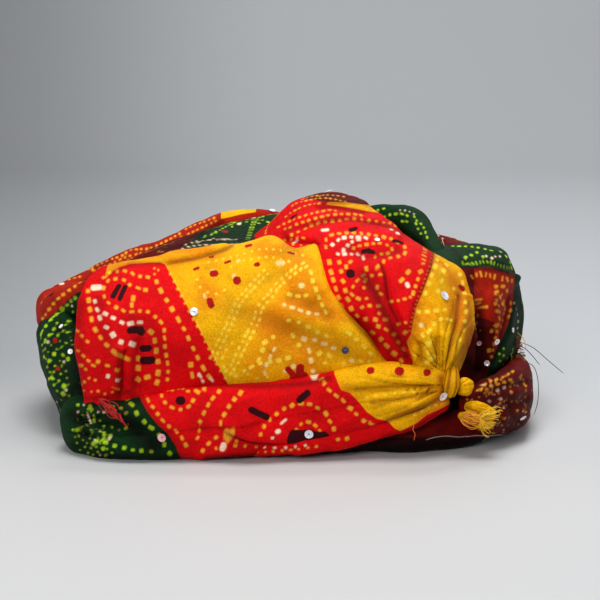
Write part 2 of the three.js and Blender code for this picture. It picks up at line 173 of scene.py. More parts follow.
TAIL_FRINGE = [
    (76, -86, 18.5, 2, 3), (82, -87, 17.5, 3, 6), (88, -86.5, 16.5, 3, 7), (92, -85, 15.5, 2, 6),
]
KNOT_LOOP = {
    "at": (72.5, -85, 33.5), "wide": 7.5, "bulge": 7, "half_tall": 5.4, "thick": 3, "lean": 8, "pleats": 9,
}
CAP = {"half_width": 96, "half_depth": 74, "height": 80, "hem": 0.6, "squareness": 2.5, "fullness": 2.4}


# Shapes

def spline_weights(count, shares):
    """Weights (places, count) of the Catmull-Rom spline through count points, at shares of its length.

    Between two points the curve is the cubic whose slope at each is half the step between its
    neighbours. Past each end the points go on in a straight line.
    """
    place = np.clip(np.asarray(shares, float), 0, 1) * (count - 1)
    first = np.clip(place.astype(int), 0, count - 2)
    w = place - first
    cubic = 0.5 * np.stack([
        -w + 2 * w**2 - w**3,
        2 - 5 * w**2 + 3 * w**3,
        w + 4 * w**2 - 3 * w**3,
        -(w**2) + w**3,
    ], axis=1)
    full = np.zeros((len(place), count + 2))
    np.add.at(full, (np.arange(len(place))[:, None], first[:, None] + np.arange(4)), cubic)
    weights = full[:, 1:-1].copy()
    weights[:, 0] += 2 * full[:, 0]
    weights[:, 1] -= full[:, 0]
    weights[:, -1] += 2 * full[:, -1]
    weights[:, -2] -= full[:, -1]
    return weights


def even_shares(lengths, count):
    """Shares 0 to 1 at count + 1 places, that divide a line with these step lengths into even steps."""
    total = np.concatenate([[0], np.cumsum(lengths)])
    return np.interp(np.linspace(0, total[-1], count + 1), total, np.linspace(0, 1, len(total)))


def unit(vectors):
    """Vectors at a length of one."""
    return vectors / np.maximum(np.linalg.norm(vectors, axis=-1, keepdims=True), 1e-12)


def smooth_step(low, high, x):
    """0 below low, 1 above high, and the cubic 3x^2 - 2x^3 between them."""
    share = np.clip((x - low) / (high - low), 0, 1)
    return share * share * (3 - 2 * share)


def on_view(points):
    """Points across and down the camera's front view, with their distance from the camera."""
    offset = points - CAMERA_PLACE
    depth = offset @ -CAMERA_BACK
    scale = VIEW_SIZE * CAMERA_LENS / SENSOR / depth
    across = VIEW_SIZE / 2 + scale * offset[..., 0]
    down = VIEW_SIZE / 2 - scale * (offset @ CAMERA_UP)
    return np.stack([across, down, depth], axis=-1)


class Cloth:
    """The outside of a piece of cloth: a grid of points in metres, along it and across it.

    ring says that the last column joins the first, as in a roll. Fields are numbers kept for each
    point, such as the distance to the nearest dot of the print.
    """

    def __init__(self, points, ring=False):
        self.points = points
        self.ring = ring
        self.fields = {}
        # Painted shade, from 0 to 1, that darkens the print in folds and where cloth runs in under other
        # cloth
        self.shade = np.zeros(points.shape[:2])
        self.face()

    def darken(self, amount):
        """Keeps the darkest of the soft painted shades, from 0 to 1, that are painted into the folds."""
        self.shade = np.clip(np.maximum(self.shade, amount.reshape(self.shade.shape)), 0, 1)

    def steps(self):
        """Vectors from each point towards the next ones, along the cloth and across it."""
        along = np.gradient(self.points, axis=0)
        if self.ring:
            across = (np.roll(self.points, -1, axis=1) - np.roll(self.points, 1, axis=1)) / 2
        else:
            across = np.gradient(self.points, axis=1)
        return along, across

    def face(self):
        """Works out the outward direction at each point."""
        along, across = self.steps()
        self.normals = unit(np.cross(along, across))
        middle = self.points.mean(axis=1, keepdims=True) if self.ring else MIDDLE
        out = np.sum(self.normals * (self.points - middle), axis=-1)
        if np.median(out) < 0:
            self.normals = -self.normals
        self.views = None

    def view(self):
        """The grid on the front view, and how squarely each point faces the camera."""
        if self.views is None:
            facing = np.sum(unit(CAMERA_PLACE - self.points) * self.normals, axis=-1)
            self.views = (on_view(self.points), facing)
        return self.views

    def push(self, amount):
        """Moves each point outwards by an amount in metres, and keeps it above the table."""
        self.points = self.points + self.normals * amount[..., None]
        self.points[..., 2] = np.maximum(self.points[..., 2], 0)
        self.face()

    def shares(self):
        """Shares from 0 to 1 along the cloth and across it, at each point."""
        rows, columns = self.points.shape[:2]
        return np.meshgrid(np.arange(rows) / (rows - 1), np.arange(columns) / (columns - 1), indexing="ij")

    def nearest(self, places):
        """Rows and columns of the grid's points that are nearest to places between them."""
        rows, columns = self.points.shape[:2]
        i, j = np.round(places).astype(int).T
        return np.clip(i, 0, rows - 1), j % columns if self.ring else np.clip(j, 0, columns - 1)

    def at(self, places, grid=None):
        """Values of a grid at places between its points, by linear shares of the four around each."""
        grid = self.points if grid is None else grid
        rows, columns = grid.shape[:2]
        i = np.clip(places[:, 0], 0, rows - 1.001)
        j = places[:, 1] % columns if self.ring else np.clip(places[:, 1], 0, columns - 1.001)
        low_i, low_j = i.astype(int), j.astype(int)
        next_j = (low_j + 1) % columns
        u, v = (i - low_i)[:, None], (j - low_j)[:, None]
        return (
            grid[low_i, low_j] * (1 - u) * (1 - v)
            + grid[low_i + 1, low_j] * u * (1 - v)
            + grid[low_i, next_j] * (1 - u) * v
            + grid[low_i + 1, next_j] * u * v
        )

    def seen_at(self, spots):
        """Places on the grid that show at spots of the front view, and whether each shows at all.

        It starts from the nearest point of the grid that faces the camera, then solves for the
        place by Newton's method on the four points around it.
        """
        view, facing = self.view()
        cell = 2.0
        size = int(VIEW_SIZE / cell)
        nearest = np.full((size, size), -1)
        shown = np.flatnonzero(facing.ravel() > 0.04)
        shown = shown[np.argsort(-view[..., 2].ravel()[shown])]
        spot_of = np.clip((view.reshape(-1, 3)[shown, :2] / cell).astype(int), 0, size - 1)
        nearest[spot_of[:, 0], spot_of[:, 1]] = shown
        for _ in range(2):
            for axis, shift in ((0, 1), (0, -1), (1, 1), (1, -1)):
                nearest = np.where(nearest < 0, np.roll(nearest, shift, axis=axis), nearest)
        start = np.clip((spots / cell).astype(int), 0, size - 1)
        start = nearest[start[:, 0], start[:, 1]]
        found = start >= 0
        start = np.maximum(start, 0)
        columns = self.points.shape[1]
        places = np.stack([start // columns, start % columns], axis=1).astype(float)
        flat = view[..., :2]
        for _ in range(6):
            here = self.at(places, flat)
            by_row = self.at(places + [0.5, 0], flat) - self.at(places - [0.5, 0], flat)
            by_column = self.at(places + [0, 0.5], flat) - self.at(places - [0, 0.5], flat)
            miss = spots - here
            area = by_row[:, 0] * by_column[:, 1] - by_row[:, 1] * by_column[:, 0]
            area = np.where(np.abs(area) < 1e-3, 1e-3, area)
            step_i = (miss[:, 0] * by_column[:, 1] - miss[:, 1] * by_column[:, 0]) / area
            step_j = (by_row[:, 0] * miss[:, 1] - by_row[:, 1] * miss[:, 0]) / area
            places = places + np.clip(np.stack([step_i, step_j], axis=1), -3, 3)
        miss = np.linalg.norm(spots - self.at(places, flat), axis=1)
        return places, found & (miss < 3)


def layer(net, along, across):
    """The outside of a layer of cloth: splines across the rows of a net, at even steps."""
    rows = (np.array(net["rows"], float) - FOOTPRINT) * MM
    fine = 240

    def surface(s, t):
        return np.einsum("ir,rcx,jc->ijx", spline_weights(len(rows), s), rows,
                         spline_weights(rows.shape[1], t))

    trial = surface(np.linspace(0, 1, fine), np.linspace(0, 1, fine))
    lengths_along = np.linalg.norm(np.diff(trial, axis=0), axis=-1).mean(axis=1)
    lengths_across = np.linalg.norm(np.diff(trial, axis=1), axis=-1).mean(axis=0)
    points = surface(even_shares(lengths_along, along), even_shares(lengths_across, across))
    points[..., 2] = np.maximum(points[..., 2], 0)
    return Cloth(points)


def roll(sections, along, around):
    """The outside of a roll of cloth: superelliptic sections along a spline, with rounded ends.

    A section's point at angle a is its centre, plus half its width times the signed power of cos a
    to the side, plus half its height times the signed power of sin a upwards. At the two ends the
    sections shrink to a point as a quarter circle does.
    """
    table = np.array(sections, float)
    centres = (table[:, :3] - FOOTPRINT) * MM
    trial = spline_weights(len(sections), np.linspace(0, 1, 300)) @ centres
    shares = even_shares(np.linalg.norm(np.diff(trial, axis=0), axis=1), along)
    weights = spline_weights(len(sections), shares)
    spine, size = weights @ centres, weights @ (table[:, 3:] * MM)
    forward = unit(np.gradient(spine, axis=0))
    side = unit(np.cross(forward, [0, 0, 1]))
    upward = np.cross(side, forward)
    length = np.linalg.norm(np.diff(spine, axis=0), axis=1).sum()
    end = ROLL_END * size.mean()
    place = np.linspace(0, length, along + 1)[:, None]
    to_end = np.minimum(place, length - place)
    shrink = np.sqrt(np.clip(1 - (1 - np.clip(to_end / end, 0, 1)) ** 2, 0.0009, 1))
    turn = 2 * np.pi * np.arange(around) / around
    wide = np.sign(np.cos(turn)) * np.abs(np.cos(turn)) ** SQUARENESS
    tall = np.sign(np.sin(turn)) * np.abs(np.sin(turn)) ** SQUARENESS
    points = (
        spine[:, None]
        + side[:, None] * (shrink * size[:, :1] / 2 * wide)[..., None]
        + upward[:, None] * (shrink * size[:, 1:] / 2 * tall)[..., None]
    )
    points[..., 2] = np.maximum(points[..., 2], 0)
    return Cloth(points, ring=True)


def band(around, across):
    """The loop of cloth over the knot: a flat band bent round an ellipse, then leant over.

    At turn t and section angle s the band is wide/2 cos(s)^0.6 across and stands out of the ellipse
    by thick/2 sin(s)^0.8 + 0.3 cos(pleats s), with the powers signed. Its waist is a quarter narrower.
    """
    turn = 2 * np.pi * np.arange(around) / around
    section = 2 * np.pi * np.arange(across) / across
    wide = KNOT_LOOP["wide"] / 2 * np.sign(np.cos(section)) * np.abs(np.cos(section)) ** 0.6
    swell = KNOT_LOOP["thick"] / 2 * np.sign(np.sin(section)) * np.abs(np.sin(section)) ** 0.8
    pinch = 1 - 0.25 * np.abs(np.sin(turn))[:, None]
    swell = swell + 0.3 * np.cos(KNOT_LOOP["pleats"] * section)
    x = np.broadcast_to(wide, (around, across)) * pinch
    y = -(KNOT_LOOP["bulge"] + swell) * np.cos(turn)[:, None]
    z = (KNOT_LOOP["half_tall"] + swell) * np.sin(turn)[:, None]
    lean = math.radians(KNOT_LOOP["lean"])
    points = np.stack([
        x * math.cos(lean) + z * math.sin(lean),
        y,
        -x * math.sin(lean) + z * math.cos(lean),
    ], axis=-1)
    return (points + KNOT_LOOP["at"] - FOOTPRINT) * MM


def ripples(points, size, depth, seed):
    """Soft unevenness: the sum of six sine waves in random directions, bent by two more."""
    chance = np.random.default_rng(seed)
    bent = points + 0.35 * size * np.sin(points[..., [1, 2, 0]] * 4 / size + chance.uniform(0, 6, 3))
    total = np.zeros(points.shape[:-1])
    for _ in range(6):
        way = unit(chance.normal(size=3))
        wave = size * chance.uniform(0.6, 1.6)
        total += np.sin(bent @ way * 2 * np.pi / wave + chance.uniform(0, 6.28))
    return depth * total / 3


def pairs(numbers):
    """A run of numbers as points, two to a point."""
    return np.reshape(numbers, (-1, 2)).astype(float)


def through(points, steps_each=12):
    """A smooth line through a few points, with many more."""
    points = np.array(points, float)
    if len(points) < 3:
        shares = np.linspace(0, 1, steps_each * len(points))
        return points[0] + (points[-1] - points[0]) * shares[:, None]
    shares = np.linspace(0, 1, (len(points) - 1) * steps_each + 1)
    return spline_weights(len(points), shares) @ points


def to_line(spots, line):
    """Distance from each spot to a line of points, its side, and the share along it that is nearest.

    The side is positive where the spot lies to the right of the line's way, on a view that has its
    second axis down.
    """
    best = np.full(len(spots), 1e9)
    side = np.zeros(len(spots))
    share = np.zeros(len(spots))
    steps = np.diff(line, axis=0)
    for k, step in enumerate(steps):
        offset = spots - line[k]
        along = np.clip(offset @ step / max(step @ step, 1e-12), 0, 1)
        away = offset - along[:, None] * step
        distance = np.hypot(away[:, 0], away[:, 1])
        nearer = distance < best
        best = np.where(nearer, distance, best)
        turn = step[0] * offset[:, 1] - step[1] * offset[:, 0]
        side = np.where(nearer, np.sign(turn), side)
        share = np.where(nearer, (k + along) / len(steps), share)
    return best, side, share


def fold(cloth, folds, seen=True):
    """Pushes folds into a cloth.

    A fold is its kind, its depth in millimetres, its width, and its line as a run of numbers, two
    to a point. On the front view the width and points are in its units, else they are shares of
    the cloth. With u the distance over the width, a ridge stands out by depth times exp(-u^2), and
    a valley goes in as far. A pleat stands out on the right of its line, where u is above 0, with a
    sharp edge and a slow fall: depth times exp(-u^2 / 4) / (1 + exp(-7u)) - 0.45 exp(-5 (u + 0.35)^2).
    Its painted shade and a valley's lie where the fold goes in.
    """
    view, facing = cloth.view()
    rows, columns = cloth.points.shape[:2]
    if seen:
        spots = view[..., :2].reshape(-1, 2)
        weight = smooth_step(-0.02, 0.22, facing).ravel()
    else:
        spots = np.stack(cloth.shares(), axis=-1).reshape(-1, 2)
        weight = np.ones(rows * columns)
    push = np.zeros(rows * columns)
    dark = np.zeros(rows * columns)
    for kind, depth, width, points in folds:
        distance, side, share = to_line(spots, through(pairs(points), 6))
        fade = smooth_step(0, 0.16, share) * smooth_step(0, 0.16, 1 - share)
        if kind == "pleat":
            signed = distance * side / width
            section = 1 / (1 + np.exp(-signed * 7)) * np.exp(-np.maximum(signed, 0) ** 2 / 4)
            section = section - 0.45 * np.exp(-((signed + 0.35) ** 2) * 5)
            shadow = 0.45 * np.exp(-((signed + 0.22) ** 2) * 16)
        else:
            section = np.exp(-((distance / width) ** 2)) * (1 if kind == "ridge" else -1)
            shadow = 0.26 * np.maximum(-section, 0) ** 1.6
        push += depth * MM * section * fade
        # Painted shade in the hollow of each fold
        dark = np.maximum(dark, depth * shadow * fade * weight)
    cloth.push((push * weight).reshape(rows, columns))
    cloth.darken(dark)


def gathers(cloth, bunches):
    """Pleats that run together at a point of the front view.

    A bunch is that point, its first and last angle in degrees, and the pleats' count, reach and depth.
    With r and a the distance and the angle from the point, the push is depth times
    0.35 - exp(-(sin(w) / 0.4)^2), with w = pi count (a - first) / (last - first), so there is a
    crease at each whole step. It fades with exp(-(r / reach)^2) and past the two angles.
    """
    view, facing = cloth.view()
    for x, y, first, last, count, reach, depth in bunches:
        across, up = view[..., 0] - x, y - view[..., 1]
        distance = np.hypot(across, up)
        angle = (np.degrees(np.arctan2(up, across)) - first) % 360
        angle = np.where(angle > 180 + (last - first) / 2, angle - 360, angle)
        share = angle / (last - first)
        bent = share + 0.05 * np.sin(9 * share + distance / 14)
        crease = 0.35 - np.exp(-((np.sin(np.pi * count * bent) / 0.4) ** 2))
        fade = np.exp(-((distance / reach) ** 2)) * smooth_step(1, 7, distance)
        fade = fade * smooth_step(0, 0.2, facing)
        fade = fade * smooth_step(-0.05, 0.08, share) * smooth_step(-0.05, 0.08, 1 - share)
        cloth.push(depth * MM * crease * fade)
        # Painted shade along the bottom of each crease
        cloth.darken(0.36 * depth * fade * np.exp(-((np.sin(np.pi * count * bent) / 0.25) ** 2)))


def shadows(cloth, lines):
    """Painted soft shade where cloth runs in under its neighbours: a strength, a width and a line of the
    view.

    The line is a run of numbers, two to a point. The shade is the strength times
    exp(-(distance / width)^2).
    """
    view, facing = cloth.view()
    places = view[..., :2].reshape(-1, 2)
    seen = smooth_step(-0.12, 0.04, facing).ravel()
    for strength, width, points in lines:
        distance, _, _ = to_line(places, through(pairs(points), 6))
        cloth.darken(seen * strength * np.exp(-((distance / width) ** 2)))


# Print

FAR = 3.0  # distance in millimetres that a point far from every mark is given


def field(cloth, name):
    """A cloth's field of distances to the nearest mark of a kind."""
    if name not in cloth.fields:
        cloth.fields[name] = np.full(cloth.points.shape[:2], FAR)
    return cloth.fields[name]


LEAN = 0.42  # least share that a mark is drawn out to where the cloth turns away from the front
LAYER_GAP = 3.5  # millimetres off a mark's plane past which the cloth belongs to another fold
HALF_SIZES = (0.38, 1.5)  # least and greatest half size of a dot in a row, in millimetres

# Kinds of dots in a row: their field, their half sizes along and across the row in shares of its
# pitch, and how far each of a pair stands off it
KINDS = {
    "dot": ("dots", 0.27, 0.205, 0),
    "fine": ("dots", 0.17, 0.15, 0),
    "twin": ("dots", 0.29, 0.22, 0.42),
    "tick": ("dots", 0.2, 0.55, 0),
    "pale": ("pale", 0.27, 0.205, 0),
    "pale fine": ("pale", 0.17, 0.15, 0),
    "pale big": ("pale", 0.32, 0.24, 0),
}


def as_seen(offsets, centres, normals):
    """Offsets on the cloth, shortened about as the front view shortens them.

    With v the unit vector to the camera, n the normal and t the unit vector of v - (v.n) n, an
    offset o becomes o - (1 - max(|v.n|, LEAN)) (o.t) t.
    """
    ways = unit(CAMERA_PLACE - centres)
    facing = np.sum(ways * normals, axis=-1, keepdims=True)
    leans = unit(ways - facing * normals)
    share = 1 - np.clip(np.abs(facing), LEAN, 1)
    shape = (len(centres),) + (1,) * (offsets.ndim - 2) + (3,)
    along = np.sum(offsets * leans.reshape(shape), axis=-1, keepdims=True)
    return offsets - share.reshape(shape[:-1] + (1,)) * along * leans.reshape(shape)


def stamp(cloth, name, places, centres, ways, half, corner, seen=False):
    """Puts rounded rectangles on a cloth, as distances in millimetres to the nearest one.

    The distance from a rectangle is that of the offset past its half sizes less the corner's
    radius, then less that radius, measured in the plane that touches the cloth at its centre.
    """
    if not len(places):
        return
    marks = field(cloth, name)
    rows, columns = marks.shape
    along, across = cloth.steps()
    reach = (np.max(half) + 1.2) * MM / (LEAN if seen else 1)
    at_i, at_j = cloth.nearest(places)
    step_i = np.percentile(np.linalg.norm(along[at_i, at_j], axis=-1), 8)
    step_j = np.percentile(np.linalg.norm(across[at_i, at_j], axis=-1), 8)
    wide_i = int(np.clip(np.ceil(reach / max(step_i, 1e-5)), 3, 18))
    wide_j = int(np.clip(np.ceil(reach / max(step_j, 1e-5)), 3, 18))
    i = at_i[:, None, None] + np.arange(-wide_i, wide_i + 1)[None, :, None]
    j = at_j[:, None, None] + np.arange(-wide_j, wide_j + 1)[None, None, :]
    i, j = np.broadcast_arrays(i, j)
    real = (i >= 0) & (i < rows)
    if cloth.ring:
        j = j % columns
    else:
        real &= (j >= 0) & (j < columns)
    i, j = np.clip(i, 0, rows - 1), np.clip(j, 0, columns - 1)
    normals = cloth.normals[at_i, at_j]
    ways = unit(ways - normals * np.sum(ways * normals, axis=1, keepdims=True))
    sides = np.cross(normals, ways)
    offset = cloth.points[i, j] - centres[:, None, None]
    deep = np.abs(np.einsum("nijx,nx->nij", offset, normals)) / MM
    if seen:
        offset = as_seen(offset, centres, normals)
    x = np.abs(np.einsum("nijx,nx->nij", offset, ways)) / MM
    y = np.abs(np.einsum("nijx,nx->nij", offset, sides)) / MM
    half = np.asarray(half, float).reshape(-1, 1, 1, 2)
    past_x = x - half[..., 0] + corner
    past_y = y - half[..., 1] + corner
    outside = np.hypot(np.maximum(past_x, 0), np.maximum(past_y, 0))
    distance = outside + np.minimum(np.maximum(past_x, past_y), 0) - corner
    distance = np.where(real & (deep < LAYER_GAP), distance, FAR)
    np.minimum.at(marks, (i, j), distance)


def places_of(cloth, points, seen):
    """Places on the grid along a line that is given on the front view or in shares of the cloth."""
    if seen:
        line = through(pairs(points), 14)
        places, found = cloth.seen_at(line)
        return places[found]
    line = through(pairs(points), 20)
    rows, columns = cloth.points.shape[:2]
    return line * [rows - 1, columns if cloth.ring else columns - 1]


def dot_rows(cloth, rows, seed, seen=True):
    """Rows of tied dots: small rounded squares at even steps along lines on the cloth.

    A row is the kind of its dots, their pitch in millimetres, and its line as a run of numbers, two
    to a point. Twin rows are two side by side. Ticks are thin bars across the line.
    """
    chance = np.random.default_rng(seed)
    for kind, pitch, points in rows:
        name, half_along, half_across, apart = KINDS[kind]
        places = places_of(cloth, points, seen)
        if len(places) < 2:
            continue
        line = cloth.at(places)
        steps = np.diff(line, axis=0)
        if seen:
            steps = as_seen(steps, line[:-1], cloth.normals[cloth.nearest(places[:-1])])
        steps = np.linalg.norm(steps, axis=1)
        steps = np.where(steps > 6 * MM, 0, steps)
        length = np.concatenate([[0], np.cumsum(steps)])
        count = max(1, int(round(length[-1] / MM / pitch)))
        targets = (np.arange(count) + 0.5 + chance.uniform(-0.07, 0.07, count)) / count * length[-1]
        index = np.interp(targets, length, np.arange(len(length)))
        low = np.clip(index.astype(int), 0, len(places) - 2)
        share = (index - low)[:, None]
        spots = places[low] * (1 - share) + places[low + 1] * share
        centres = line[low] * (1 - share) + line[low + 1] * share
        before, after = line[np.maximum(low - 3, 0)], line[np.minimum(low + 4, len(line) - 1)]
        ways = unit(after - before + chance.normal(0, 0.16, centres.shape) * np.linalg.norm(
            after - before, axis=1, keepdims=True))
        half = np.array([half_along, half_across]) * pitch
        half = half * chance.uniform(0.78, 1.22, (count, 2))
        if kind != "tick":
            half = np.clip(half, *HALF_SIZES)
        corner = 0.55 * half.min()
        sides = np.cross(cloth.normals[cloth.nearest(spots)], ways) * apart * pitch * MM
        for shift in ((-1, 1) if apart else (0,)):
            stamp(cloth, name, spots, centres + shift * sides, ways, half, corner, seen)


def spots(cloth, marks):
    """Single marks: the field that each goes to, its middle on the front view, its width and height in
    millimetres, and the angle in degrees that its width is turned upwards from level."""
    for name, x, y, wide, tall, tilt in marks:
        places, found = cloth.seen_at(np.array([[x, y]], float))
        if not found[0]:
            continue
        centre = cloth.at(places)
        angle = math.radians(tilt)
        way = np.array([[math.cos(angle), 0, math.sin(angle)]])
        half = np.array([[wide / 2, tall / 2]])
        stamp(cloth, name, places, centre, way, half, 0.95 * half.min(), True)


def dabs(cloth, name, points, size, seed):
    """Small loose dots of about a size in millimetres, at points of the front view, as a run of numbers."""
    chance = np.random.default_rng(seed)
    places, found = cloth.seen_at(pairs(points))
    places = places[found]
    centres = cloth.at(places)
    half = size / 2 * chance.uniform(0.7, 1.25, (len(places), 2))
    stamp(cloth, name, places, centres, unit(chance.normal(size=centres.shape)), half, 0.3 * size, True)


def scatter(cloth, name, count, size, seed, box):
    """Loose dots at random places of a box of the front view."""
    dabs(cloth, name, np.random.default_rng(seed).uniform(box[:2], box[2:], (count, 2)), size, seed)


RINGS = ((0.17, 0.0), (0.34, 0.5))  # radius of each ring of dots in shares of the spacing, and its phase
RING_PITCH = 3.4  # millimetres from dot to dot in a ring


def motifs(cloth, spacing, seed, low=(0, 0), high=(1, 1), charted=()):
    """Plain tied rings for the sides that the photo hides: two rings of dots round a middle dot.

    They stand on a grid between two corners in shares of the cloth, a spacing in millimetres
    apart. A dot that the front view shows, within one of the charted boxes, is left out.
    """
    chance = np.random.default_rng(seed)
    rows, columns = cloth.points.shape[:2]
    view, facing = cloth.view()
    steps = cloth.steps()
    size = np.array([np.linalg.norm(s, axis=-1).mean() / MM for s in steps]) * [rows, columns]
    low, high = np.array(low, float), np.array(high, float)
    cells = np.maximum(1, np.round((high - low) * size / spacing)).astype(int)
    cell = np.stack(np.meshgrid(*map(np.arange, cells), indexing="ij"), axis=-1).reshape(-1, 2)
    within = cell + 0.5 + 0.25 * (cell[:, ::-1] % 2) + chance.uniform(-0.1, 0.1, cell.shape)
    middle = low + within / cells * (high - low)
    dots = [middle]
    for share, phase in RINGS:
        count = int(2 * np.pi * share * spacing / RING_PITCH)
        turn = 2 * np.pi * (np.arange(count) + phase) / count
        ring = np.stack([np.cos(turn), np.sin(turn)], axis=-1) * share * spacing / size
        dots.append((middle[:, None] + ring).reshape(-1, 2))
    places = np.concatenate(dots) * [rows - 1, columns - 1]
    kept = (places >= 1).all(axis=1) & (places <= [rows - 2, columns - 2]).all(axis=1)
    places = places[kept]
    seen = cloth.at(places, np.concatenate([view[..., :2], facing[..., None]], axis=-1))
    hidden = seen[:, 2] < 0.06
    boxes = np.zeros(len(places), bool)
    for x0, y0, x1, y1 in charted:
        boxes |= (seen[:, 0] > x0) & (seen[:, 0] < x1) & (seen[:, 1] > y0) & (seen[:, 1] < y1)
    places = places[hidden | (~boxes if charted else False)]
    centres = cloth.at(places)
    half = 0.85 * chance.uniform(0.8, 1.2, (len(places), 2))
    for part in np.array_split(np.arange(len(places)), max(1, len(places) // 400)):
        ways = unit(chance.normal(size=(len(part), 3)))
        stamp(cloth, "dots", places[part], centres[part], ways, half[part], 0.4)


EDGE = -0.13  # how far cloth may face away from the camera and still have the front view's colours


def grounds(cloth, areas, seen=True):
    """Grounds of colour: a field for each, negative inside its outlines, in millimetres.

    An area is its field and the corners of its outline as a run of numbers, two to a corner, on the
    front view or in shares of the cloth. A minus before the field cuts the area out of it again.
    """
    view, facing = cloth.view()
    rows, columns = cloth.points.shape[:2]
    if seen:
        here = view[..., :2].reshape(-1, 2)
        scale = VIEW_UNIT / MM
        use = facing > EDGE
    else:
        i, j = cloth.shares()
        steps = cloth.steps()
        size = [np.linalg.norm(s, axis=-1).mean() * n / MM for s, n in zip(steps, (rows, columns))]
        here = np.stack([i * size[0], j * size[1]], axis=-1).reshape(-1, 2)
        scale = 1
        use = facing <= EDGE
    for name, corners in areas:
        corners = pairs(corners)
        if not seen:
            corners = corners * size
        closed = np.vstack([corners, corners[:1]])
        distance, _, _ = to_line(here, closed)
        inside = np.zeros(len(here), bool)
        for (x0, y0), (x1, y1) in zip(closed[:-1], closed[1:]):
            if y0 != y1:
                crosses = (y0 > here[:, 1]) != (y1 > here[:, 1])
                inside ^= crosses & (here[:, 0] < (x1 - x0) * (here[:, 1] - y0) / (y1 - y0) + x0)
        signed = (np.where(inside, -distance, distance) * scale).reshape(rows, columns)
        marks = field(cloth, name.lstrip("-"))
        joined = np.maximum(marks, -signed) if name.startswith("-") else np.minimum(marks, signed)
        cloth.fields[name.lstrip("-")] = np.where(use, joined, marks)


# Meshes

COARSE = 4  # steps of the outside grid for each step of the inside of a layer

# Fields of distances that each piece carries, and the inputs of the print that they drive
FIELDS = {
    "yellow": "Yellow Ground", "green": "Green Ground", "maroon": "Maroon Ground", "dots": "Dots",
    "pale": "Pale Dots", "dark": "Dark Marks", "red": "Red Marks",
}


def make_mesh(name, points, faces, uv=None, fields=None):
    """An object from arrays of points in metres and of faces, with smooth shading."""
    mesh = bpy.data.meshes.new(name)
    corners = np.concatenate([f.ravel() for f in faces]).astype(np.int32)
    counts = np.concatenate([np.full(len(f), f.shape[1]) for f in faces]).astype(np.int32)
    mesh.vertices.add(len(points))
    mesh.vertices.foreach_set("co", np.asarray(points, np.float32).ravel())
    mesh.loops.add(len(corners))
    mesh.loops.foreach_set("vertex_index", corners)
    mesh.polygons.add(len(counts))
    mesh.polygons.foreach_set("loop_start", np.concatenate([[0], np.cumsum(counts)[:-1]]).astype(np.int32))
    mesh.polygons.foreach_set("use_smooth", np.ones(len(counts), bool))
    mesh.update(calc_edges=True)
    mesh.validate()
    if uv is not None:
        layer_uv = mesh.uv_layers.new(name="cloth")
        layer_uv.data.foreach_set("uv", np.asarray(uv, np.float32)[corners].ravel())
    for key, values in (fields or {}).items():
        mesh.attributes.new(key, "FLOAT", "POINT").data.foreach_set("value", values.astype(np.float32))
    made = bpy.data.objects.new(name, mesh)
    bpy.context.scene.collection.objects.link(made)
    return made


def grid_faces(rows, columns, ring=False, first=0):
    """Quads of a grid of points that are numbered along its rows."""
    i, j = np.meshgrid(np.arange(rows - 1), np.arange(columns if ring else columns - 1), indexing="ij")
    next_j = (j + 1) % columns
    here, beyond = i * columns, (i + 1) * columns
    return np.stack([here + j, beyond + j, beyond + next_j, here + next_j], -1).reshape(-1, 4) + first


def grid_uv(cloth):
    """Lengths in metres along and across the cloth, on average."""
    along, across = cloth.steps()
    u = np.linalg.norm(along, axis=-1).mean() * np.arange(cloth.points.shape[0])
    v = np.linalg.norm(across, axis=-1).mean() * np.arange(cloth.points.shape[1])
    return np.stack(np.broadcast_arrays(u[:, None], v[None, :]), axis=-1)


def cloth_mesh(name, cloth, points, faces, source):
    """An object of a cloth, whose points take their lengths and fields from the grid's at source."""
    uv = grid_uv(cloth).reshape(-1, 2)[source]
    fields = {k: field(cloth, k).ravel()[source] for k in FIELDS}
    fields["shade"] = cloth.shade.ravel()[source]
    return make_mesh(name, points, faces, uv, fields)


def shell(name, cloth, thick):
    """A layer of cloth as a closed shell with a rounded hem.

    The outside is the cloth's grid. A ring of points half the thickness in, and a little past the
    edge, rounds the hem, and the inside lies the thickness in from the outside.
    """
    points = cloth.points
    rows, columns = points.shape[:2]
    numbers = np.arange(rows * columns).reshape(rows, columns)
    loop = np.concatenate([numbers[:-1, 0], numbers[-1, :-1], numbers[:0:-1, -1], numbers[0, :0:-1]])
    flat = points.reshape(-1, 3)
    normals = cloth.normals.reshape(-1, 3)
    inner = flat - normals * thick
    inner[:, 2] = np.maximum(inner[:, 2], 0)
    following, leading = np.roll(loop, -1), np.roll(loop, 1)
    off = unit(np.cross(flat[following] - flat[leading], normals[loop]))
    inward = points[1:-1, 1:-1].reshape(-1, 3).mean(axis=0) - flat[loop]
    off = off * -np.sign(np.median(np.sum(off * inward, axis=1)))
    hem = flat[loop] - normals[loop] * thick / 2 + off * thick * 0.4
    hem[:, 2] = np.maximum(hem[:, 2], 0)
    inner_grid = numbers[::COARSE, ::COARSE]
    inner_of = np.full(rows * columns, -1)
    inner_of[inner_grid.ravel()] = np.arange(inner_grid.size) + rows * columns
    every = np.concatenate([flat, inner[inner_grid.ravel()], hem])
    outside = grid_faces(rows, columns)
    inside = grid_faces(*inner_grid.shape, first=rows * columns)[:, ::-1]
    hem_at = rows * columns + inner_grid.size + np.arange(len(loop))
    hem_next = np.roll(hem_at, -1)
    upper = np.stack([loop, hem_at, hem_next, following], -1)
    corner = np.arange(0, len(loop), COARSE)
    next_corner = np.roll(corner, -1)
    between = (corner[:, None] + np.arange(COARSE, 0, -1)) % len(loop)
    lower = np.concatenate([
        hem_at[corner][:, None], inner_of[loop[corner]][:, None], inner_of[loop[next_corner]][:, None],
        hem_at[between],
    ], axis=1)
    if points_inward(every, np.concatenate([outside, upper])):
        outside, inside, upper, lower = (f[:, ::-1] for f in (outside, inside, upper, lower))
    source = np.concatenate([np.arange(rows * columns), inner_grid.ravel(), loop])
    return cloth_mesh(name, cloth, every, [outside, inside, upper, lower], source)


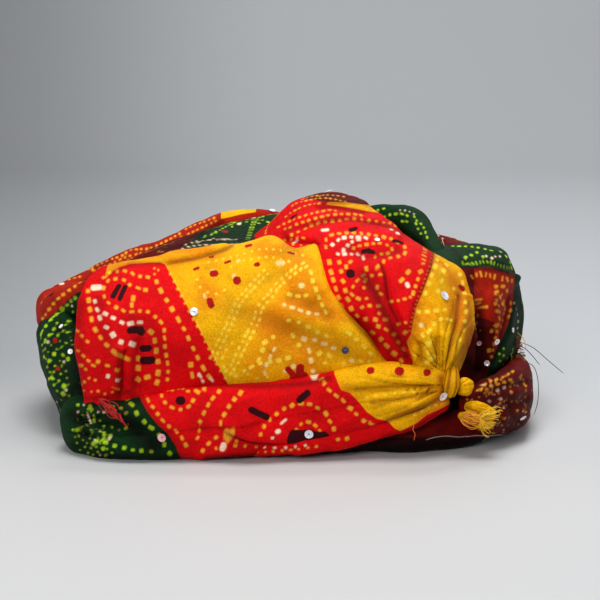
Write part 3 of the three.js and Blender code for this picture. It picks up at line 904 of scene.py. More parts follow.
def points_inward(points, faces):
    """Whether the faces of a closed mesh point inwards: the volume that they enclose is below 0."""
    a, b, c = (points[faces[:, k]] for k in range(3))
    volume = np.sum(a * np.cross(b, c))
    if faces.shape[1] == 4:
        volume += np.sum(a * np.cross(c, points[faces[:, 3]]))
    return volume < 0


def tube(name, cloth):
    """A roll of cloth as a closed mesh: its grid, and a point at each end."""
    points = cloth.points
    rows, columns = points.shape[:2]
    ends = np.stack([points[0].mean(axis=0), points[-1].mean(axis=0)])
    every = np.concatenate([points.reshape(-1, 3), ends])
    faces = grid_faces(rows, columns, ring=True)
    j = np.arange(columns)
    next_j = (j + 1) % columns
    start = np.stack([np.full(columns, rows * columns), j, next_j], -1)
    last = (rows - 1) * columns
    finish = np.stack([np.full(columns, rows * columns + 1), last + next_j, last + j], -1)
    if points_inward(every, faces):
        faces, start, finish = faces[:, ::-1], start[:, ::-1], finish[:, ::-1]
    source = np.concatenate([np.arange(rows * columns), [0, last]])
    return cloth_mesh(name, cloth, every, [faces, start, finish], source)


# Folds, painted shade and print, on the front view where the name doesn't say back. A line or an outline
# is a run of numbers, two to a point. A fold is its kind, depth in millimetres, width and line. A shadow
# is painted shade: its strength, width and line. A row is the kind of its dots, pitch in millimetres and
# line. A mark is its field, place, width and height in millimetres and tilt in degrees. An area is its
# field and outline.

PANEL_FOLDS = [
    ("pleat", 2.2, 5, (126, 346, 122, 358, 121, 376, 121, 398)),
    ("valley", 1.4, 4, (141, 330, 138, 366, 137, 396)),
    ("valley", 1.2, 9, (134, 318, 150, 326, 158, 345, 162, 372)),
    ("ridge", 1.2, 16, (84, 290, 98, 330, 108, 375)),
    ("ridge", 1, 20, (176, 300, 214, 384)),
    ("pleat", 1.6, 6, (236, 244, 212, 252, 184, 259, 160, 262)),
    ("valley", 1.5, 15, (196, 296, 290, 330, 340, 350, 392, 368)),
    ("ridge", 1.6, 10, (262, 302, 300, 320, 342, 334, 384, 358)),
    ("valley", 1.2, 8, (282, 292, 312, 306, 336, 322)),
    ("ridge", 1.3, 14, (240, 366, 290, 362, 340, 362, 386, 368)),
    ("valley", 0.9, 12, (226, 276, 262, 280, 292, 268)),
    ("ridge", 1.2, 12, (292, 258, 306, 280, 322, 300)),
    ("valley", 0.8, 7, (318, 330, 350, 342, 388, 364)),
]

PUFF_FOLDS = [
    ("pleat", 1.5, 7, (434, 246, 410, 234, 378, 223, 345, 217, 312, 222, 286, 231)),
    ("pleat", 2.2, 8, (376, 258, 383, 274, 385, 290, 389, 306, 404, 342)),
    ("valley", 1.8, 9, (364, 268, 386, 306, 410, 362)),
    ("valley", 1.2, 7, (352, 318, 374, 334, 408, 366)),
    ("ridge", 1.4, 9, (345, 300, 406, 362)),
    ("valley", 1.3, 6, (344, 244, 360, 252, 386, 252, 404, 246)),
    ("ridge", 1.6, 12, (352, 238, 378, 236, 404, 242)),
    ("pleat", 1.4, 5, (322, 243, 304, 241, 280, 237)),
    ("pleat", 1.7, 7, (442, 370, 454, 341, 460, 304, 461, 292)),
    ("valley", 1.8, 4, (420, 340, 421, 354, 423, 367)),
    ("ridge", 1.6, 5, (428, 326, 430, 346, 430, 364)),
    ("valley", 1.8, 4, (437, 334, 437, 352, 438, 368)),
    ("ridge", 1.5, 4, (443, 330, 444, 350, 442, 366)),
    ("valley", 1.6, 5, (466, 342, 459, 356, 449, 368)),
    ("ridge", 1.4, 6, (410, 330, 412, 346, 416, 362)),
    ("valley", 1.2, 6, (408, 352, 420, 300)),
    ("pleat", 1.6, 6, (372, 214, 352, 211, 332, 207, 312, 208)),
]

BRIM_FOLDS = [
    ("pleat", 2.8, 9, (438, 397, 426, 405, 408, 412, 391, 419, 374, 423, 341, 434, 310, 441, 280, 443,
        250, 441, 232, 434, 216, 424)),
    ("valley", 1.7, 4, (340, 391, 370, 389, 400, 386, 423, 386, 440, 388)),
    ("valley", 1.3, 3.5, (398, 399, 434, 394)),
    ("ridge", 1.2, 8, (350, 381, 390, 378, 428, 379)),
    ("ridge", 1.4, 7, (366, 402, 396, 403, 424, 398)),
    ("valley", 2.2, 6, (84, 412, 100, 424, 125, 429, 152, 432)),
    ("ridge", 1.6, 8, (96, 404, 118, 414, 146, 421)),
    ("valley", 1.8, 5, (74, 402, 78, 416, 84, 430)),
    ("valley", 1.6, 5, (100, 402, 112, 414, 126, 424)),
    ("ridge", 1.4, 9, (90, 440, 120, 446, 160, 448)),
    ("valley", 1, 10, (206, 392, 200, 440)),
    ("ridge", 1.6, 14, (240, 396, 246, 412, 250, 428)),
    ("valley", 0.9, 8, (222, 446, 260, 448, 300, 449)),
    ("ridge", 1.1, 14, (270, 392, 300, 396, 325, 402)),
]

RIGHT_FOLDS = [
    ("pleat", 3, 8, (458, 266, 474, 267, 490, 267, 512, 273, 524, 280)),
    ("valley", 5, 6, (477, 300, 484, 345, 482, 384)),
    ("ridge", 2, 6, (472, 286, 476, 312, 474, 350)),
    ("ridge", 2.4, 6, (490, 286, 493, 318, 491, 352, 486, 376)),
    ("pleat", 2.2, 7, (488, 376, 494, 358, 502, 338, 509, 314, 513, 286)),
    ("valley", 1.8, 6, (500, 376, 512, 362, 522, 346)),
    ("valley", 1.4, 6, (516, 290, 518, 312, 514, 334)),
]

SIDE_FOLDS = [
    ("valley", 1.8, 5, (478, 395, 510, 386, 531, 379)),
    ("ridge", 1.2, 6, (476, 388, 524, 369)),
    ("valley", 1.6, 5, (508, 404, 512, 416, 522, 424)),
    ("valley", 2, 5, (504, 400, 517, 403, 533, 393)),
    ("ridge", 1.5, 9, (478, 400, 522, 380)),
    ("valley", 1.2, 6, (476, 396, 490, 404, 500, 420)),
    ("ridge", 1.4, 9, (500, 414, 516, 412, 530, 408)),
]

REAR_FOLDS = [
    ("valley", 7, 6, (70, 296, 73, 330, 74, 366, 78, 404)),
    ("valley", 1.6, 7, (66, 316, 61, 350, 62, 392)),
    ("ridge", 1.4, 8, (50, 330, 50, 360, 56, 394)),
    ("valley", 2, 6, (40, 402, 56, 405, 76, 404)),
    ("valley", 1.2, 7, (190, 244, 220, 238, 256, 232)),
]

PUFF_GATHERS = [(443, 375, 48, 150, 8, 46, 2.3), (412, 372, 70, 150, 4, 34, 1.4)]
BRIM_GATHERS = [(450, 386, 168, 212, 5, 64, 2.4), (70, 424, -44, 50, 6, 44, 3.0)]
BACK_FOLDS = [
    ("ridge", 2.2, 0.05, (0.46, 0.02, 0.5, 0.25, 0.57, 0.5)),
    ("valley", 2, 0.03, (0.56, 0, 0.6, 0.25, 0.66, 0.55)),
    ("ridge", 2.4, 0.05, (0.66, 0.02, 0.7, 0.25, 0.74, 0.5)),
    ("valley", 2, 0.03, (0.76, 0, 0.8, 0.25, 0.83, 0.5)),
]
REAR_AREAS = [
    ("green", (-50, 0, -50, 650, 650, 650, 650, 0)),
    ("-green", (116, 272, 116, 250, 150, 240, 172, 232, 190, 226, 207, 222, 198, 235, 188, 243, 180, 250,
        176, 258, 150, 264)),
    ("maroon", (116, 272, 116, 250, 150, 240, 172, 232, 190, 226, 207, 222, 198, 235, 188, 243, 180, 250,
        176, 258, 150, 264)),
]
REAR_SHADOWS = [
    (0.95, 6, (76, 296, 76, 340, 78, 380, 82, 402)),
    (0.75, 7, (70, 404, 80, 412, 84, 424)),
    (0.5, 5, (50, 366, 58, 376, 66, 378)),
    (0.85, 4, (160, 249, 176, 246, 190, 239, 214, 225)),
    (0.6, 5, (46, 392, 58, 398, 70, 396)),
    (0.6, 5, (58, 330, 62, 336, 60, 342)),
    (0.7, 5, (70, 368, 70, 378, 72, 392)),
    (0.5, 4, (52, 342, 50, 352)),
]
BACK_AREAS = [
    ("green", (-0.2, -0.2, 0.52, -0.2, 0.575, 0.8, 1.2, 0.8, 1.2, 1.2, -0.2, 1.2)),
    ("yellow", (0.68, -0.2, 0.82, -0.2, 0.86, 1.2, 0.74, 1.2)),
    ("green", (0.82, -0.2, 1.2, -0.2, 1.2, 1.2, 0.86, 1.2)),
]
BACK_ROWS = [
    ("dot", 3.6, (0.545, 0.01, 0.57, 0.3, 0.595, 0.6, 0.61, 0.8)),
    ("dot", 3.6, (0.5, 0.01, 0.53, 0.3, 0.555, 0.6, 0.575, 0.8)),
    ("dot", 3.6, (0.665, 0.01, 0.685, 0.3, 0.7, 0.6, 0.715, 0.8)),
    ("twin", 3.2, (0.84, 0.01, 0.85, 0.3, 0.86, 0.6, 0.87, 0.8)),
]
UNDER_ROWS = [
    ("fine", 3.8, (236, 450, 262, 452, 290, 450, 320, 446)),
    ("pale fine", 4.2, (250, 446, 282, 448, 310, 445)),
    ("dot", 3.9, (334, 440, 350, 438, 364, 434, 378, 431)),
]

PANEL_AREAS = [
    ("yellow", (104, 280, 108, 264, 128, 256, 148, 246, 250, 226, 250, 250, 170, 266, 160, 262.5,
        150, 262.5, 130, 264, 120, 267, 112, 272)),
    ("yellow", (150, 232, 165, 264, 228, 384, 238, 410, 430, 420, 430, 200, 150, 200)),
]
PUFF_AREAS = [
    ("yellow", (435.5, 245, 431.5, 268, 423, 291, 416.5, 307, 413, 321, 410.5, 335, 406.5, 342, 411, 355,
        415, 372, 500, 400, 500, 240, 470, 225, 437, 240)),
    ("yellow", (326, 204.5, 345, 207, 366, 211, 380, 213, 384, 206, 368, 205, 345, 202, 328, 202)),
    ("maroon", (300, 180, 306, 199, 328, 202, 345, 202, 368, 205, 384, 206, 400, 180)),
]
BRIM_AREAS = [
    ("green", (137, 380, 137, 391, 142, 402, 148, 413, 158, 425, 168, 434, 175, 445, 180, 457, 184, 470,
        40, 470, 40, 380)),
    ("yellow", (333, 360, 334.5, 374, 337.5, 382, 341, 390, 350, 393, 357, 400, 367, 412, 377, 419,
        389, 421, 394, 428, 400, 431, 408, 427, 417, 421, 427, 413, 438, 408, 450, 403, 466, 395,
        466, 360)),
]
BRIM_BACK = [
    ("green", (-0.2, -0.2, 0.33, -0.2, 0.33, 1.2, -0.2, 1.2)),
    ("yellow", (0.77, -0.2, 1.2, -0.2, 1.2, 1.2, 0.77, 1.2)),
]
PANEL_BACK = [("yellow", (0.3, 0.6, 1, 0.6, 1, 1, 0.12, 1))]
PUFF_BACK = [
    ("yellow", (-0.2, 0.6, 0.42, 0.6, 0.42, 1.2, -0.2, 1.2)),
    ("maroon", (0.56, -0.2, 1.2, -0.2, 1.2, 1.2, 0.56, 1.2)),
]
RIDGE_BACK = [("yellow", (0.785, -0.2, 0.865, -0.2, 0.865, 1.2, 0.785, 1.2))]
# The maroon area is painted shade: a darker red for the right of the under fold, under the brim. The yellow
# is print.
UNDER_AREAS = [
    ("yellow", (385, 421, 389, 422, 394, 428, 400, 431, 408, 427.5, 417, 423, 427, 414.5, 438, 410,
        450, 404, 457, 397, 466, 380, 360, 380)),
    ("maroon", (388, 470, 386, 438, 398, 434, 412, 434, 428, 433, 440, 431, 450, 420, 456, 404, 470, 380,
        560, 380, 560, 470)),
]
# On the under roll: the same painted shade in maroon above the line, and the painted shadow of its
# near-black finish below it
RECESS_AREAS = [("maroon", (380, 380, 560, 380, 560, 438, 380, 438))]
UNDER_SHADOWS = [
    (1, 7, (378, 451, 430, 446, 510, 440)),
    (0.7, 4, (386, 438, 404, 434, 416, 430, 424, 422)),
    (0.35, 4, (436, 434, 448, 422, 454, 406)),
    (0.8, 3, (386, 419, 424, 405, 440, 397)),
    (0.7, 2.5, (402, 433, 418, 425, 456, 401)),
]
BRIM_SHADOWS = [
    (1, 3.4, (206, 459, 230, 457, 300, 455, 340, 453, 376, 447, 404, 440)),
    (0.75, 9, (92, 404, 136, 400)),
    (0.9, 12, (124, 414, 138, 430, 154, 444)),
    (0.6, 7, (96, 424, 110, 420, 124, 422)),
    (0.9, 7, (72, 414, 82, 422, 84, 434)),
    (0.7, 5, (96, 456, 130, 457, 178, 457)),
    (0.6, 5, (74, 446, 84, 444, 92, 448)),
    (0.5, 6, (138, 390, 146, 408, 160, 426, 176, 446)),
    (0.7, 3, (330, 378, 300, 384, 250, 386, 200, 384, 146, 386)),
    (0.75, 3.2, (388, 420, 404, 413, 424, 406, 440, 398)),
    (0.6, 2.6, (372, 402, 400, 399, 436, 391)),
    (0.6, 2.2, (356, 389, 400, 386, 438, 387)),
    (0.8, 4, (402, 432, 420, 423, 456, 400)),
    (0.65, 7, (352, 442, 380, 434, 402, 434, 430, 421, 450, 408)),
    (0.8, 4, (441, 378, 443, 390, 446, 400)),
]
RIGHT_SHADOWS = [
    (0.95, 5, (479, 312, 484, 350)),
    (1, 8, (462, 356, 474, 368, 486, 382)),
    (0.9, 2.4, (460, 268, 480, 268, 500, 271, 515, 277)),
    (0.85, 7, (512, 362, 500, 371, 488, 382)),
    (0.8, 4, (516, 290, 513, 312, 508, 332, 498, 350)),
    (0.7, 5, (470, 272, 474, 290, 475, 312)),
    (0.55, 6, (496, 300, 494, 330, 490, 360)),
    (0.6, 5, (466, 330, 464, 350, 456, 366)),
    (0.6, 2.5, (446, 244, 456, 252, 464, 262)),
]
SIDE_SHADOWS = [
    (0.8, 7, (488, 398, 500, 394, 508, 396)),
    (0.9, 6, (516, 402, 526, 404)),
    (0.75, 9, (484, 408, 498, 420, 512, 428)),
    (0.7, 3, (474, 384, 512, 368)),
    (0.7, 3.5, (478, 395, 510, 386, 531, 379)),
    (0.8, 5, (508, 404, 512, 416, 522, 424)),
]
PUFF_SHADOWS = [
    (0.85, 6, (364, 276, 376, 296, 406, 356)),
    (0.6, 7, (352, 322, 374, 338, 396, 358)),
    (0.7, 2.4, (434, 247, 430, 268, 421, 291, 414, 307, 410, 333)),
    (0.5, 4, (346, 248, 366, 256, 400, 252)),
    (0.8, 5, (398, 366, 408, 372, 424, 374)),
    (0.5, 5, (472, 330, 467, 350, 457, 368)),
    (0.5, 3, (286, 232, 312, 223, 345, 218, 378, 224)),
    (0.7, 3, (322, 204, 350, 202, 384, 205)),
    (0.6, 4, (404, 330, 406, 344, 410, 360)),
]
PANEL_SHADOWS = [
    (0.7, 3.5, (119, 352, 118, 376, 119, 398)),
    (0.5, 6, (136, 340, 134, 366, 134, 394)),
    (0.45, 8, (132, 318, 150, 328, 160, 350)),
    (0.6, 3, (84, 398, 110, 397, 132, 390)),
    (0.5, 6, (80, 300, 79, 340, 82, 390)),
    (0.2, 12, (200, 300, 250, 318, 380, 362)),
    (0.7, 2.2, (232, 246, 198, 258, 182, 260, 168, 264)),
    (0.5, 2.5, (112, 272, 122, 268, 134, 264, 164, 263)),
    (0.4, 6, (98, 300, 104, 330, 112, 352)),
    (0.6, 3, (330, 262, 336, 286, 346, 310, 366, 336, 398, 366)),
]
RIDGE_SHADOWS = [
    (0.6, 3, (40, 334, 62, 309, 76, 296)),
    (0.7, 3, (96, 272, 112, 268, 130, 262, 150, 258)),
    (0.8, 3.5, (176, 247, 190, 240, 222, 222)),
    (0.5, 4, (84, 284, 96, 272, 100, 264)),
    (0.6, 4, (156, 256, 166, 250, 178, 246)),
    (0.5, 2.5, (104, 262, 112, 262)),
    (0.5, 2.5, (152, 246, 158, 252)),
    (0.5, 3, (52, 300, 60, 304)),
]
CREST_SHADOWS = [(0.6, 4, (374, 222, 400, 228, 424, 244)), (0.5, 3, (396, 212, 410, 224, 420, 238))]

TUCK_GATHERS = [(456, 388, -70, 70, 5, 18, 1.2)]
TUCK_SHADOWS = [(0.7, 3, (459, 378, 459, 398)), (0.4, 3, (462, 396, 474, 394))]
TAIL_GATHERS = [(462, 404, -60, 20, 7, 26, 0.9)]
TAIL_SHADOWS = [(0.55, 2.5, (466, 407, 480, 414, 490, 418)), (0.4, 3, (459, 418, 470, 428))]
RIGHT_BACK = [("green", (0.4, -0.1, 1.2, -0.1, 1.2, 1.2, 0.4, 1.2))]
# The maroon area is painted shade: a darker copy of the wrap's lit maroon, where it runs in beside the
# lobe. The green is print.
RIGHT_AREAS = [
    ("maroon", (455, 266, 474, 268, 474, 300, 476, 316, 494, 322, 496, 345, 490, 376, 440, 400, 440, 266)),
    ("green", (420, 200, 420, 266, 461, 268, 476, 268, 489, 267, 500, 271, 515, 275, 514, 290, 512, 308,
        508, 324, 500, 342, 492, 360, 486, 376, 482, 400, 560, 400, 560, 200)),
]

PANEL_ROWS = [
    ("dot", 3.2, (101, 280, 107, 274, 112, 272, 126, 271, 138, 276, 144, 276, 151, 278)),
    ("dot", 3.6, (150, 291, 132, 286, 124, 280, 112, 279, 106, 283, 103, 291, 105, 298, 110, 304,
        122, 310, 128, 312, 145, 311, 154, 316, 160, 321, 164, 329, 165, 348, 168, 367, 167, 384)),
    ("dot", 4.4, (134, 294, 131, 309)),
    ("pale big", 4, (94, 297, 98, 311, 106, 314, 119, 321, 127, 324, 136, 322, 144, 323)),
    ("pale big", 4.4, (98, 313, 102, 322, 114, 336, 121, 342, 138, 345)),
    ("dot", 4.4, (90, 286, 88, 292, 90, 310, 94, 327, 105, 343, 118, 355, 127, 357)),
    ("dot", 3, (75, 328, 80, 334, 90, 344)),
    ("dot", 3.2, (75, 348, 96, 368)),
    ("dot", 3.8, (94, 360, 106, 365, 112, 368, 121, 372)),
    ("dot", 3.2, (76, 365, 82, 366, 88, 372)),
    ("dot", 2.8, (76, 387, 83, 383, 86, 380, 91, 378, 98, 382)),
    ("fine", 3.2, (80, 389, 88, 392, 97, 391, 106, 394, 122, 388)),
    ("pale", 4, (103, 374, 121, 382)),
    ("dot", 4.6, (146, 330, 154, 334, 155, 343, 158, 361, 158, 371, 158, 380, 154, 387)),
    ("dot", 4.6, (138, 353, 138, 370, 138, 379, 143, 378, 153, 376)),
    ("fine", 2.6, (157, 266, 154, 269, 154, 274, 158, 272, 158, 267)),
    ("dot", 4.6, (156, 276, 157, 283, 161, 291, 169, 304, 178, 319, 183, 327, 200, 362, 212, 381)),
    ("dot", 4.6, (190, 359, 193, 381)),
    ("pale fine", 4.4, (197, 371, 201, 379, 206, 384)),
    ("twin", 2.7, (268, 270, 255, 283, 239, 302, 235, 310, 226, 331, 216, 351, 212, 361)),
    ("twin", 2.9, (308, 264, 298, 268, 277, 286, 272, 294, 265, 301, 259, 310, 256, 321, 240, 352,
        234, 365, 226, 375)),
    ("dot", 3.8, (310.5, 268, 312.5, 279.5, 323, 307, 328, 316)),
    ("pale", 4.1, (280, 303, 309, 313, 321, 314)),
    ("pale", 4.9, (300, 337, 305, 339, 315, 340, 338, 350)),
    ("dot", 4, (290, 331, 302, 350)),
    ("pale", 4.4, (307, 345, 309, 350, 314, 377)),
    ("pale", 3.8, (276, 346, 266, 366, 265, 377)),
    ("fine", 3.6, (168, 270, 193, 319, 200, 330, 205, 342, 222, 373, 228, 381)),
    ("fine", 3.2, (205, 263, 240, 255, 262, 249, 285, 251, 306, 256)),
    ("fine", 3.4, (228, 269, 238, 262, 252, 259, 270, 257, 292, 262)),
    ("fine", 3.6, (196, 275, 201, 288, 215, 294, 228, 288)),
    ("dot", 4.2, (284, 320, 294, 321, 303, 324, 315, 331, 331, 338)),
    ("dot", 4.4, (345, 330, 360, 343, 367, 350, 374, 357)),
    ("dot", 4.4, (316, 357, 322, 352, 330, 356, 328, 362, 319, 364)),
    ("dot", 4.2, (232, 378, 258, 364, 276, 361, 292, 357)),
    ("dot", 4.4, (286, 291, 293, 296, 311, 295)),
    ("dot", 4.2, (278, 335, 266, 341, 262, 352, 257, 364)),
    ("fine", 4, (236, 340, 226, 350, 222, 362, 226, 371)),
    ("dot", 4, (340, 366, 350, 361, 374, 362)),
    ("fine", 4, (244, 372, 256, 378, 272, 376)),
]
PANEL_MARKS = [
    ("dark", 116, 291, 7.4, 2.1, 72), ("dark", 122.5, 292.5, 7.8, 2.1, 76),
    ("dark", 133, 330.5, 5.4, 2.8, 2), ("dark", 141, 331.5, 3.6, 3.4, -40), ("dark", 137, 328, 6, 1.6, 0),
    ("dark", 145, 348.5, 5, 3.1, 4), ("dark", 147, 360.5, 7, 3.5, 4), ("pale", 96.5, 287.5, 5.2, 2.6, 4),
    ("red", 214, 273.5, 3.9, 2.9, 8), ("red", 237, 280.5, 3.4, 3.7, 0), ("red", 257, 264.5, 2.8, 1.9, 10),
    # Painted highlights: the small pale marks at 212.5, 271 and 234, 276 on this line and at 204.5, 296 on
    # the next, each at the upper left of a red spot
    ("red", 210.5, 303, 2.9, 4.8, 24), ("pale", 212.5, 271, 2, 1.6, 20), ("pale", 234, 276, 1.9, 2, 40),
    ("pale", 204.5, 296, 1.2, 2.4, 20), ("red", 196.5, 268.5, 3.2, 1.3, 32),
    ("red", 227.5, 262, 3.2, 1.1, 28), ("red", 211.5, 257, 2.4, 1, 34), ("red", 291, 253, 3.6, 1, 6),
    ("red", 248.5, 245.5, 3.4, 1.4, 32), ("pale", 280.5, 263, 4.2, 2.4, 8),
    ("pale", 238.5, 260.5, 2, 1.3, 8), ("pale", 301.5, 285.5, 2.8, 2.4, 0),
    ("pale", 351.5, 360.5, 2.1, 2.1, 30), ("red", 292, 374, 2.6, 8, 40),
    ("red", 300, 372.5, 3.6, 7.6, -4), ("red", 304, 377, 3, 4.6, -24), ("red", 296, 379, 5.6, 4.4, 0),
    ("pale", 293.5, 366.5, 2.2, 2.6, 30), ("pale", 285.5, 371, 2.4, 2, 10),
    ("pale", 200, 375.5, 1.2, 2.8, 30), ("pale", 211.5, 379.5, 1.2, 2.6, 40),
]

PUFF_ROWS = [
    ("dot", 3.1, (353, 252, 354, 248, 358, 246, 379, 243, 389, 246, 392, 249, 390, 253, 378, 255,
        373, 260)),
    ("dot", 3.4, (326, 251, 326, 243, 327, 238, 335, 234, 358, 233, 384, 237, 394, 240, 405, 247,
        406, 250, 404, 254, 399, 256, 386, 259, 382, 264, 375, 267)),
    ("pale big", 3.3, (330, 247, 338, 240, 348, 237, 369, 238)),
    ("pale big", 3, (342, 252, 349, 244, 354, 241, 361, 239)),
    ("pale big", 2.9, (335, 254, 349, 254, 360, 255, 365, 260)),
    ("dot", 4.1, (329, 258, 331, 272, 342, 308, 347, 319)),
    ("dot", 4.1, (338, 258, 341, 268, 342, 277, 350, 306, 355, 314, 362, 319, 370, 319, 380, 320,
        390, 319)),
    ("dot", 3.6, (354, 260, 347, 264, 346, 270)),
    ("dot", 3.6, (366, 264, 366, 271, 362, 277, 356, 282, 351, 292, 355, 297, 361, 299, 370, 298)),
    ("dot", 3.4, (384, 274, 371, 276, 364, 283, 365, 292)),
    ("dot", 3.6, (377, 284, 378, 292, 384, 295)),
    ("dot", 3.6, (359, 311, 365, 306, 383, 306)),
    ("dot", 3.6, (375, 313, 384, 314)),
    ("dot", 4, (374, 325, 385, 329, 394, 334, 399, 343, 406, 352)),
    ("dot", 4.2, (369, 330, 379, 337, 391, 351, 398, 357, 404, 364)),
    ("dot", 3.4, (409, 322, 394, 325)),
    ("dot", 3.6, (408, 329, 402, 336)),
    ("dot", 2.9, (388, 302, 401, 300, 414, 296)),
    ("dot", 4.1, (411, 268, 409, 271, 404, 277, 398, 285)),
    ("tick", 1.9, (426, 240, 423, 266)),
    ("dot", 3.6, (422, 268, 418, 279, 412, 297)),
    ("dot", 3.4, (288, 236, 305, 229, 319, 223, 336, 221, 349, 219, 355, 219, 387, 223, 404, 229,
        410, 234)),
    ("dot", 3.1, (282, 230, 291, 227, 297, 224, 329, 215, 354, 214, 364, 216)),
    ("dot", 2.9, (276, 228, 288, 222, 306, 215, 328, 210, 338, 211)),
    ("dot", 2.6, (284, 218, 292, 212, 302, 207, 312, 204, 322, 203)),
    ("dot", 2.6, (290, 207, 300, 202, 324, 198, 348, 202)),
    ("dot", 2.6, (300, 200, 314, 196, 330, 195, 346, 197)),
    ("dot", 2.2, (266, 235, 266, 230, 273, 216)),
    ("dot", 2.8, (282, 240, 290, 240, 298, 238, 306, 238)),
    ("fine", 3.4, (290, 246, 296, 244, 304, 246, 312, 245)),
    ("dot", 4, (415, 311, 423, 312, 441, 310, 449, 309)),
    ("dot", 4, (428, 336, 430, 329, 436, 322, 445, 318, 453, 322)),
    ("dot", 4.4, (421, 331, 426, 343, 430, 362)),
    ("dot", 4.2, (440, 252, 424, 297)),
    ("dot", 4.4, (448, 262, 443, 272, 441, 284, 436, 296)),
    ("dot", 4.2, (458, 270, 462, 280, 465, 296, 466, 312, 464, 328, 458, 344)),
    ("fine", 4, (452, 284, 455, 292, 456, 302)),
    ("fine", 1.9, (433, 250, 429, 268, 415, 307, 409, 333)),
]
PUFF_MARKS = [
    ("dark", 366, 251, 4.6, 2, 10), ("dark", 371, 252, 3.6, 1.8, -10), ("dark", 350.5, 273.5, 4, 3.9, 0),
    ("dark", 353.5, 229.5, 4.2, 2, -10), ("dark", 398.5, 241.5, 5.2, 1.3, -10),
    ("dark", 294, 216.5, 4, 1.3, 24), ("pale", 325, 230, 3.8, 1.4, -4),
    ("pale", 391.5, 229.5, 1.8, 1.8, 0), ("pale", 398, 233, 2.2, 2, -20),
    ("pale", 407.5, 285, 1.9, 2.8, 30), ("red", 461.5, 288, 3.6, 2.2, -35),
    ("pale", 421.5, 325, 2.1, 2.5, 30), ("pale", 296, 241.5, 3, 1.2, 30),
]

BRIM_ROWS = [
    ("tick", 2, (126, 391, 128, 401)),
    ("dot", 4.4, (128, 401, 133, 406, 137, 414, 142, 420, 157, 433, 162, 440, 168, 452, 174, 456)),
    ("dot", 3.8, (92, 443, 101, 441, 116, 446, 132, 450, 156, 452)),
    ("dot", 3.7, (143, 389, 146, 395, 148, 400, 164, 422, 179, 434, 188, 449)),
    ("dot", 3.6, (162, 388, 162, 398, 168, 405, 176, 409, 184, 409, 190, 405, 200, 390, 209, 388)),
    ("dot", 3.1, (165, 390, 175, 390, 182, 388, 186, 391, 199, 390)),
    ("dot", 3.7, (222, 388, 210, 402, 200, 422, 199, 436, 193, 440)),
    ("dot", 4, (244, 389, 230, 405, 222, 419, 220, 427)),
    ("dot", 4.4, (219, 435, 206, 446, 201, 454)),
    ("fine", 4.4, (211, 449, 240, 445)),
    ("dot", 3.9, (259, 439, 265, 425, 279, 412, 288, 407, 298, 404, 309, 404, 324, 412, 328, 418,
        336, 433)),
    ("dot", 3.6, (293, 447, 292, 441, 299, 426, 308, 422, 316, 426, 320, 432, 322, 443)),
    ("dot", 4, (322, 378, 329, 390, 345, 402, 351, 409, 364, 421, 373, 425, 381, 431)),
    ("tick", 2.1, (320, 377, 326, 386)),
    ("fine", 4, (362, 433, 352, 438, 338, 441, 330, 445)),
    ("fine", 4.2, (232, 437, 245, 446, 262, 447)),
    ("fine", 4.2, (362, 398, 380, 395, 418, 391)),
    ("fine", 3.6, (398, 424, 424, 410, 440, 404)),
]
BRIM_MARKS = [
    # The large dark mark at 309, 441 darkens the lower edge of the hem there
    ("dark", 309, 441, 19, 6.5, -3), ("pale", 313.5, 373, 4, 5, 80), ("dots", 227, 433, 2.5, 3.5, 30),
    ("pale", 223, 447, 2.6, 4.2, -20), ("dots", 231, 434, 3.2, 3, 20), ("dots", 293, 447, 3.8, 3.6, 10),
    ("dark", 180.5, 400.5, 4.2, 3.9, 0), ("dark", 259, 413.5, 10, 2.9, -26),
    ("dark", 303.5, 396.5, 7.4, 3, 42), ("dark", 309, 441, 8.5, 3.2, 4),
    ("pale", 283.5, 421.5, 3.8, 1.1, 38), ("pale", 278, 431.5, 2.6, 2, 20),
    ("pale", 272.5, 438, 1.6, 1.2, 0), ("pale", 280, 447, 3.4, 1.2, -40),
    ("red", 370.5, 370.5, 3.4, 2.6, 0), ("red", 399.5, 371, 4.2, 3.6, 0),
    ("red", 427, 372.5, 3.2, 3.2, 0),
]

RIGHT_ROWS = [
    ("tick", 1.7, (461, 263, 470, 264, 488, 262, 506, 268, 513, 268)),
    ("dot", 3.2, (450, 246, 474, 247, 494, 251)),
    ("pale", 3, (484, 255, 491, 258, 497, 256, 502, 257)),
    ("dot", 3.4, (462, 258, 470, 256, 476, 252, 486, 259)),
    ("dot", 3.2, (497, 250, 504, 254, 509, 260, 512, 266)),
    ("tick", 2.3, (470, 278, 480, 274, 492, 276, 497, 278)),
    ("tick", 2.2, (500, 278, 514, 281)),
    ("dot", 3.4, (492, 286, 505, 287, 508, 294)),
    ("dot", 3.4, (493, 292, 499, 293, 501, 300, 504, 306, 506, 313)),
    ("dot", 3.4, (510, 300, 511, 309, 507, 320)),
    ("dot", 3.6, (495, 299, 497, 309, 500, 321, 494, 328, 489, 335)),
    ("dot", 3, (496, 284, 496, 296, 499, 306, 500, 318, 497, 332, 491, 360)),
    ("fine", 3.2, (504, 284, 502, 296, 505, 304, 503, 318, 500, 330)),
    ("dot", 3.2, (478, 312, 476, 326, 478, 338)),
    ("dot", 3.4, (486, 301, 487, 312)),
    ("pale fine", 3, (473, 322, 477, 326, 482, 333)),
    ("fine", 3.2, (506, 346, 502, 352, 507, 358, 512, 352)),
    ("fine", 3.2, (500, 350, 499, 358, 504, 366)),
    ("pale fine", 3.4, (514, 300, 518, 318, 517, 332)),
    ("dot", 4.2, (491, 355, 487, 346)),
]
RIGHT_MARKS = [
    ("dots", 479.5, 299.5, 3.4, 0.9, 8), ("dots", 481, 307.5, 4, 0.9, 6),
    ("dots", 478.5, 303.5, 2.6, 0.7, 6), ("pale", 445, 243, 4.2, 2, 4),
]

